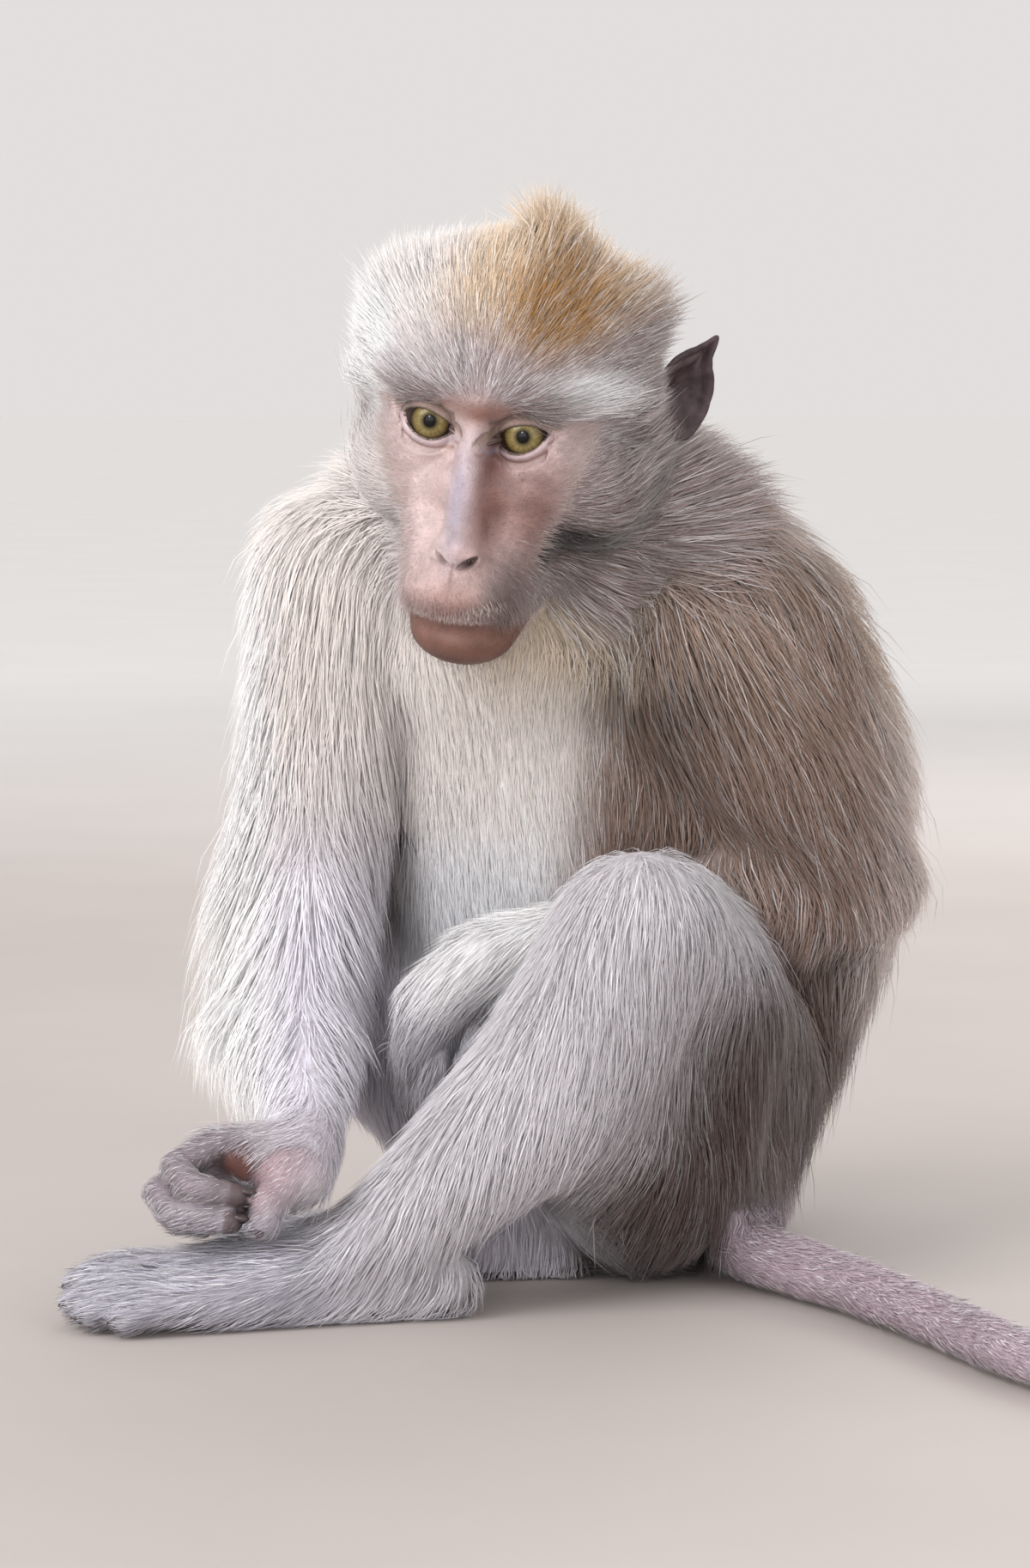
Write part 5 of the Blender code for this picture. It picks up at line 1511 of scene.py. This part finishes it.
def ear_look(tree):
    grain = noise(tree, position(tree), 220, 5)
    return {
        "Base Color": ramp(tree, grain, (0.3, tone(60, 46, 50)), (0.75, tone(98, 80, 84))),
        "Normal": relief(tree, grain, 0.4, 0.0005),
        "Roughness": 0.6,
    }


def nail_look(tree):
    grain = noise(tree, position(tree), 600)
    return {"Base Color": ramp(tree, grain, (0, tone(40, 33, 34)), (1, tone(84, 72, 72))), "Roughness": 0.32}


def finished(obj, made):
    """Gives a piece its material and smooth faces."""
    obj.data.materials.clear()
    obj.data.materials.append(made)
    obj.data.polygons.foreach_set("use_smooth", np.ones(len(obj.data.polygons), bool))
    obj.data.update()
    return obj


def build_eye(side, made):
    """One eyeball with its cornea's low dome; its unwrap holds the angle and the distance out."""
    shape = bmesh.new()
    bmesh.ops.create_uvsphere(shape, u_segments=64, v_segments=40, radius=1)
    place = shape.loops.layers.uv.new("strand")
    for face in shape.faces:
        for loop in face.loops:
            angle = math.atan2(loop.vert.co.y, loop.vert.co.x) / (2 * math.pi) + 0.5
            out = math.acos(max(-1, min(1, loop.vert.co.z))) / (math.pi / 2)
            loop[place].uv = (angle, out)
    turn = GAZE.normalized().to_track_quat("Z", "Y").to_matrix()
    for vert in shape.verts:
        out = math.acos(max(-1, min(1, vert.co.z)))
        dome = CORNEA_RISE * max(0.0, 1 - (out / CORNEA_EDGE) ** 2)
        vert.co = turn @ (vert.co * (EYE_RADIUS / 1000 * (1 + dome)))
    eye = as_object(shape, "eyeball_" + SIDES_NAMED[side])
    eye.location = on_head(*EYE_PLACES[side])
    return finished(eye, made)


EAR_TURNS = (-180, -140, -110, -85, -60, -30, 0, 28, 42, 50, 58, 70, 90, 115, 145, 180)
EAR_REACH = (11.0, 13.8, 17.6, 17.8, 14.5, 12.0, 11.8, 12.6, 15.0, 23.5, 18.6, 15.4, 13.4, 11.8, 10.8, 11.0)


def build_ear(side, made):
    """One ear: a thin cup with a sharp tip, a rolled rim and the fold inside it."""
    rings, spokes = 18, 96
    back = 0.73 if side > 0 else 0.92
    outward = (HEAD @ Vector((side * 0.68, back, 0.05))).normalized()
    front = (HEAD @ Vector((side * back, -0.68, 0.05))).normalized()
    upward = outward.cross(front).normalized()
    if upward.dot(HEAD @ Vector((0, 0, 1))) < 0:
        upward = -upward
    middle = on_head(side * EAR_SIDE, EAR_BACK, EAR_UP) + outward * EAR_WIDTH * 0.62 / 1000
    shape = bmesh.new()
    rows = [[shape.verts.new(middle - front * EAR_DEPTH / 1000)]]
    for ring in range(1, rings + 1):
        reach = ring / rings
        row = []
        for spoke in range(spokes):
            degrees = 360 * spoke / spokes - 180
            turn = math.radians(degrees)
            edge = float(np.interp(degrees, EAR_TURNS, EAR_REACH)) * reach
            rim = 1.8 * math.exp(-(((reach - 0.90) / 0.08) ** 2))
            rim = rim * (0.35 + 0.65 * max(0.0, math.cos(turn - 0.3)))
            fold = 1.6 * math.exp(-(((reach - 0.58) / 0.11) ** 2)) * max(0.0, math.sin(turn + 0.6))
            canal = -2.6 * math.exp(-((reach / 0.25) ** 2))
            hollow = -EAR_DEPTH * (1 - reach**2) + rim + fold + canal
            offset = outward * (edge * math.cos(turn)) + upward * (edge * math.sin(turn)) + front * hollow
            row.append(shape.verts.new(middle + offset / 1000))
        rows.append(row)
    for spoke in range(spokes):
        after = (spoke + 1) % spokes
        shape.faces.new((rows[0][0], rows[1][spoke], rows[1][after]))
        for inner, outer in zip(rows[1:], rows[2:]):
            shape.faces.new((inner[spoke], outer[spoke], outer[after], inner[after]))
    bmesh.ops.recalc_face_normals(shape, faces=shape.faces[:])
    ear = as_object(shape, "ear_cup_" + SIDES_NAMED[side])
    thick = ear.modifiers.new("Thickness", "SOLIDIFY")
    thick.thickness = 0.0015
    thick.offset = 0
    round_off = ear.modifiers.new("Round", "SUBSURF")
    round_off.levels = 1
    round_off.render_levels = 1
    apply_modifiers(ear)
    return finished(ear, made)


def build_nails(made):
    """A curved, narrow nail on the end of every finger and toe, as one joined piece."""
    digits = [*RIGHT_FINGERS, RIGHT_THUMB, LEFT_THUMB, *left_fingers()]
    for foot in FEET.values():
        digits += toe_points(foot)
    shapes = []
    for *_, before, tip in digits:
        tip = Vector(tip)
        way = (tip - Vector(before)).normalized()
        out = Vector((0, 0, 1)) if abs(way.z) < 0.6 else Vector((-0.55, -0.8, 0.2))
        out = (out - way * out.dot(way)).normalized()
        axes = Matrix((way.cross(out), way, out)).transposed()
        shapes.append(ball(tip + way * 0.0030 + out * 0.0022, (0.0021, 0.0034, 0.0013), axes))
    return finished(as_object(merged(shapes), "nails"), made)


# Studio
FAR_GAIN = (0.537, 0.578, 0.594)  # added to the floor's colour far away, to meet the backdrop


def floor_look(tree):
    """Pale stone whose colour nears the backdrop's with the distance."""
    place = position(tree)
    stone = ramp(tree, noise(tree, place, 6, 8), (0, tone(174, 166, 162)), (1, tone(186, 178, 174)))
    reach = node(tree, "VectorMath", {0: place}, "Value", operation="LENGTH")
    bounds = {"From Min": 0.9, "From Max": 3.5}
    far = node(tree, "MapRange", {"Value": reach, **bounds}, interpolation_type="SMOOTHSTEP")
    faded = node(tree, "VectorMath", {0: far, 1: FAR_GAIN, 2: stone}, operation="MULTIPLY_ADD")
    return {"Base Color": faded, "Roughness": 0.7}


def build_floor():
    bpy.ops.mesh.primitive_plane_add(size=60, location=(0, 0, 0))
    floor = bpy.context.object
    floor.name = "floor"
    floor.data.materials.append(material("floor", floor_look))


def add_light(name, place, target, size, power, colour):
    light = bpy.data.lights.new(name, "AREA")
    light.shape = "DISK"
    light.size = size
    light.energy = power
    light.color = colour
    obj = placed(name, light)
    obj.location = place
    obj.rotation_euler = (Vector(target) - Vector(place)).to_track_quat("-Z", "Y").to_euler()


# Name, place, target, size in metres, watts and colour
LIGHTS = (
    ("key", (-1.5, -1.4, 1.6), (-0.03, -0.08, 0.16), 1.4, 40, (1.0, 0.99, 0.985)),
    ("fill", (1.4, -1.9, 0.9), (0.0, -0.08, 0.15), 1.8, 10, (1.0, 0.99, 0.985)),
    ("bounce", (-0.5, -2.0, 0.12), (-0.05, -0.05, 0.18), 1.2, 8, (1.0, 0.99, 0.985)),
    ("catch", (-0.5, -1.9, 0.62), (-0.07, -0.14, 0.29), 0.25, 4, (1.0, 1.0, 1.0)),
    ("rim", (0.6, 1.6, 1.3), (0.0, 0.0, 0.18), 1.2, 16, (1.0, 0.98, 0.96)),
)


def build_studio():
    world = bpy.data.worlds.new("studio")
    bpy.context.scene.world = world
    world.use_nodes = True
    back = world.node_tree.nodes["Background"]
    fill(world.node_tree, back, {"Color": (*tone(220, 217, 216), 1), "Strength": 1.06})
    for light in LIGHTS:
        add_light(*light)
    bpy.context.scene.view_settings.view_transform = "Standard"


CAMERA_PLACE = (-0.06, -1.76, 0.3096)
CAMERA_DROP = math.atan(483 / 5800)
FOCAL_PIXELS = 5800
PHOTO_HEIGHT = 1826
SENSOR = 36.0


def build_camera():
    camera = bpy.data.cameras.new("camera")
    camera.sensor_fit = "AUTO"
    camera.sensor_width = SENSOR
    camera.lens = FOCAL_PIXELS / PHOTO_HEIGHT * SENSOR
    camera.clip_start = 0.05
    obj = placed("camera", camera)
    obj.location = CAMERA_PLACE
    obj.rotation_euler = (math.pi / 2 - CAMERA_DROP, 0, 0)
    bpy.context.scene.camera = obj


def unwrap(obj):
    """Unwraps the skin by its own shape, which the tufts' places also use."""
    mesh = obj.data
    for layer in list(mesh.uv_layers):
        mesh.uv_layers.remove(layer)
    mesh.uv_layers.new(name="OFBake")
    bpy.ops.object.select_all(action="DESELECT")
    obj.select_set(True)
    bpy.context.view_layer.objects.active = obj
    bpy.ops.object.mode_set(mode="EDIT")
    bpy.ops.mesh.select_all(action="SELECT")
    bpy.ops.uv.smart_project(angle_limit=math.radians(70), island_margin=0.001)
    bpy.ops.object.mode_set(mode="OBJECT")


def finish_skin(skin):
    """Paints the skin and returns the coat's length at each of its points."""
    points = read(skin.data.vertices, "co")
    length = coat_at(points)[1]
    paint(skin.data, skin_tone(points, length))
    finished(skin, material("skin", skin_look))
    return length


def main():
    build_floor()
    build_studio()
    build_camera()
    skin = build_skin()
    unwrap(skin)
    length = finish_skin(skin)
    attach(skin, "root")
    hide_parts(*FLESH_NODES)
    coat = material("coat", coat_look)
    for piece in dress(Surface(skin), length):
        piece.data.materials.append(coat)
        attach(piece, "root")
    wet, dark, horn = material("eye", eye_look), material("ear_skin", ear_look), material("nail", nail_look)
    for side, name in SIDES_NAMED.items():
        eye = build_eye(side, wet)
        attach(eye, "root")
        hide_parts("eye_" + name)
        ear = build_ear(side, dark)
        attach(ear, "root")
        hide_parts("ear_" + name)
    nails = build_nails(horn)
    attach(nails, "root")


main()
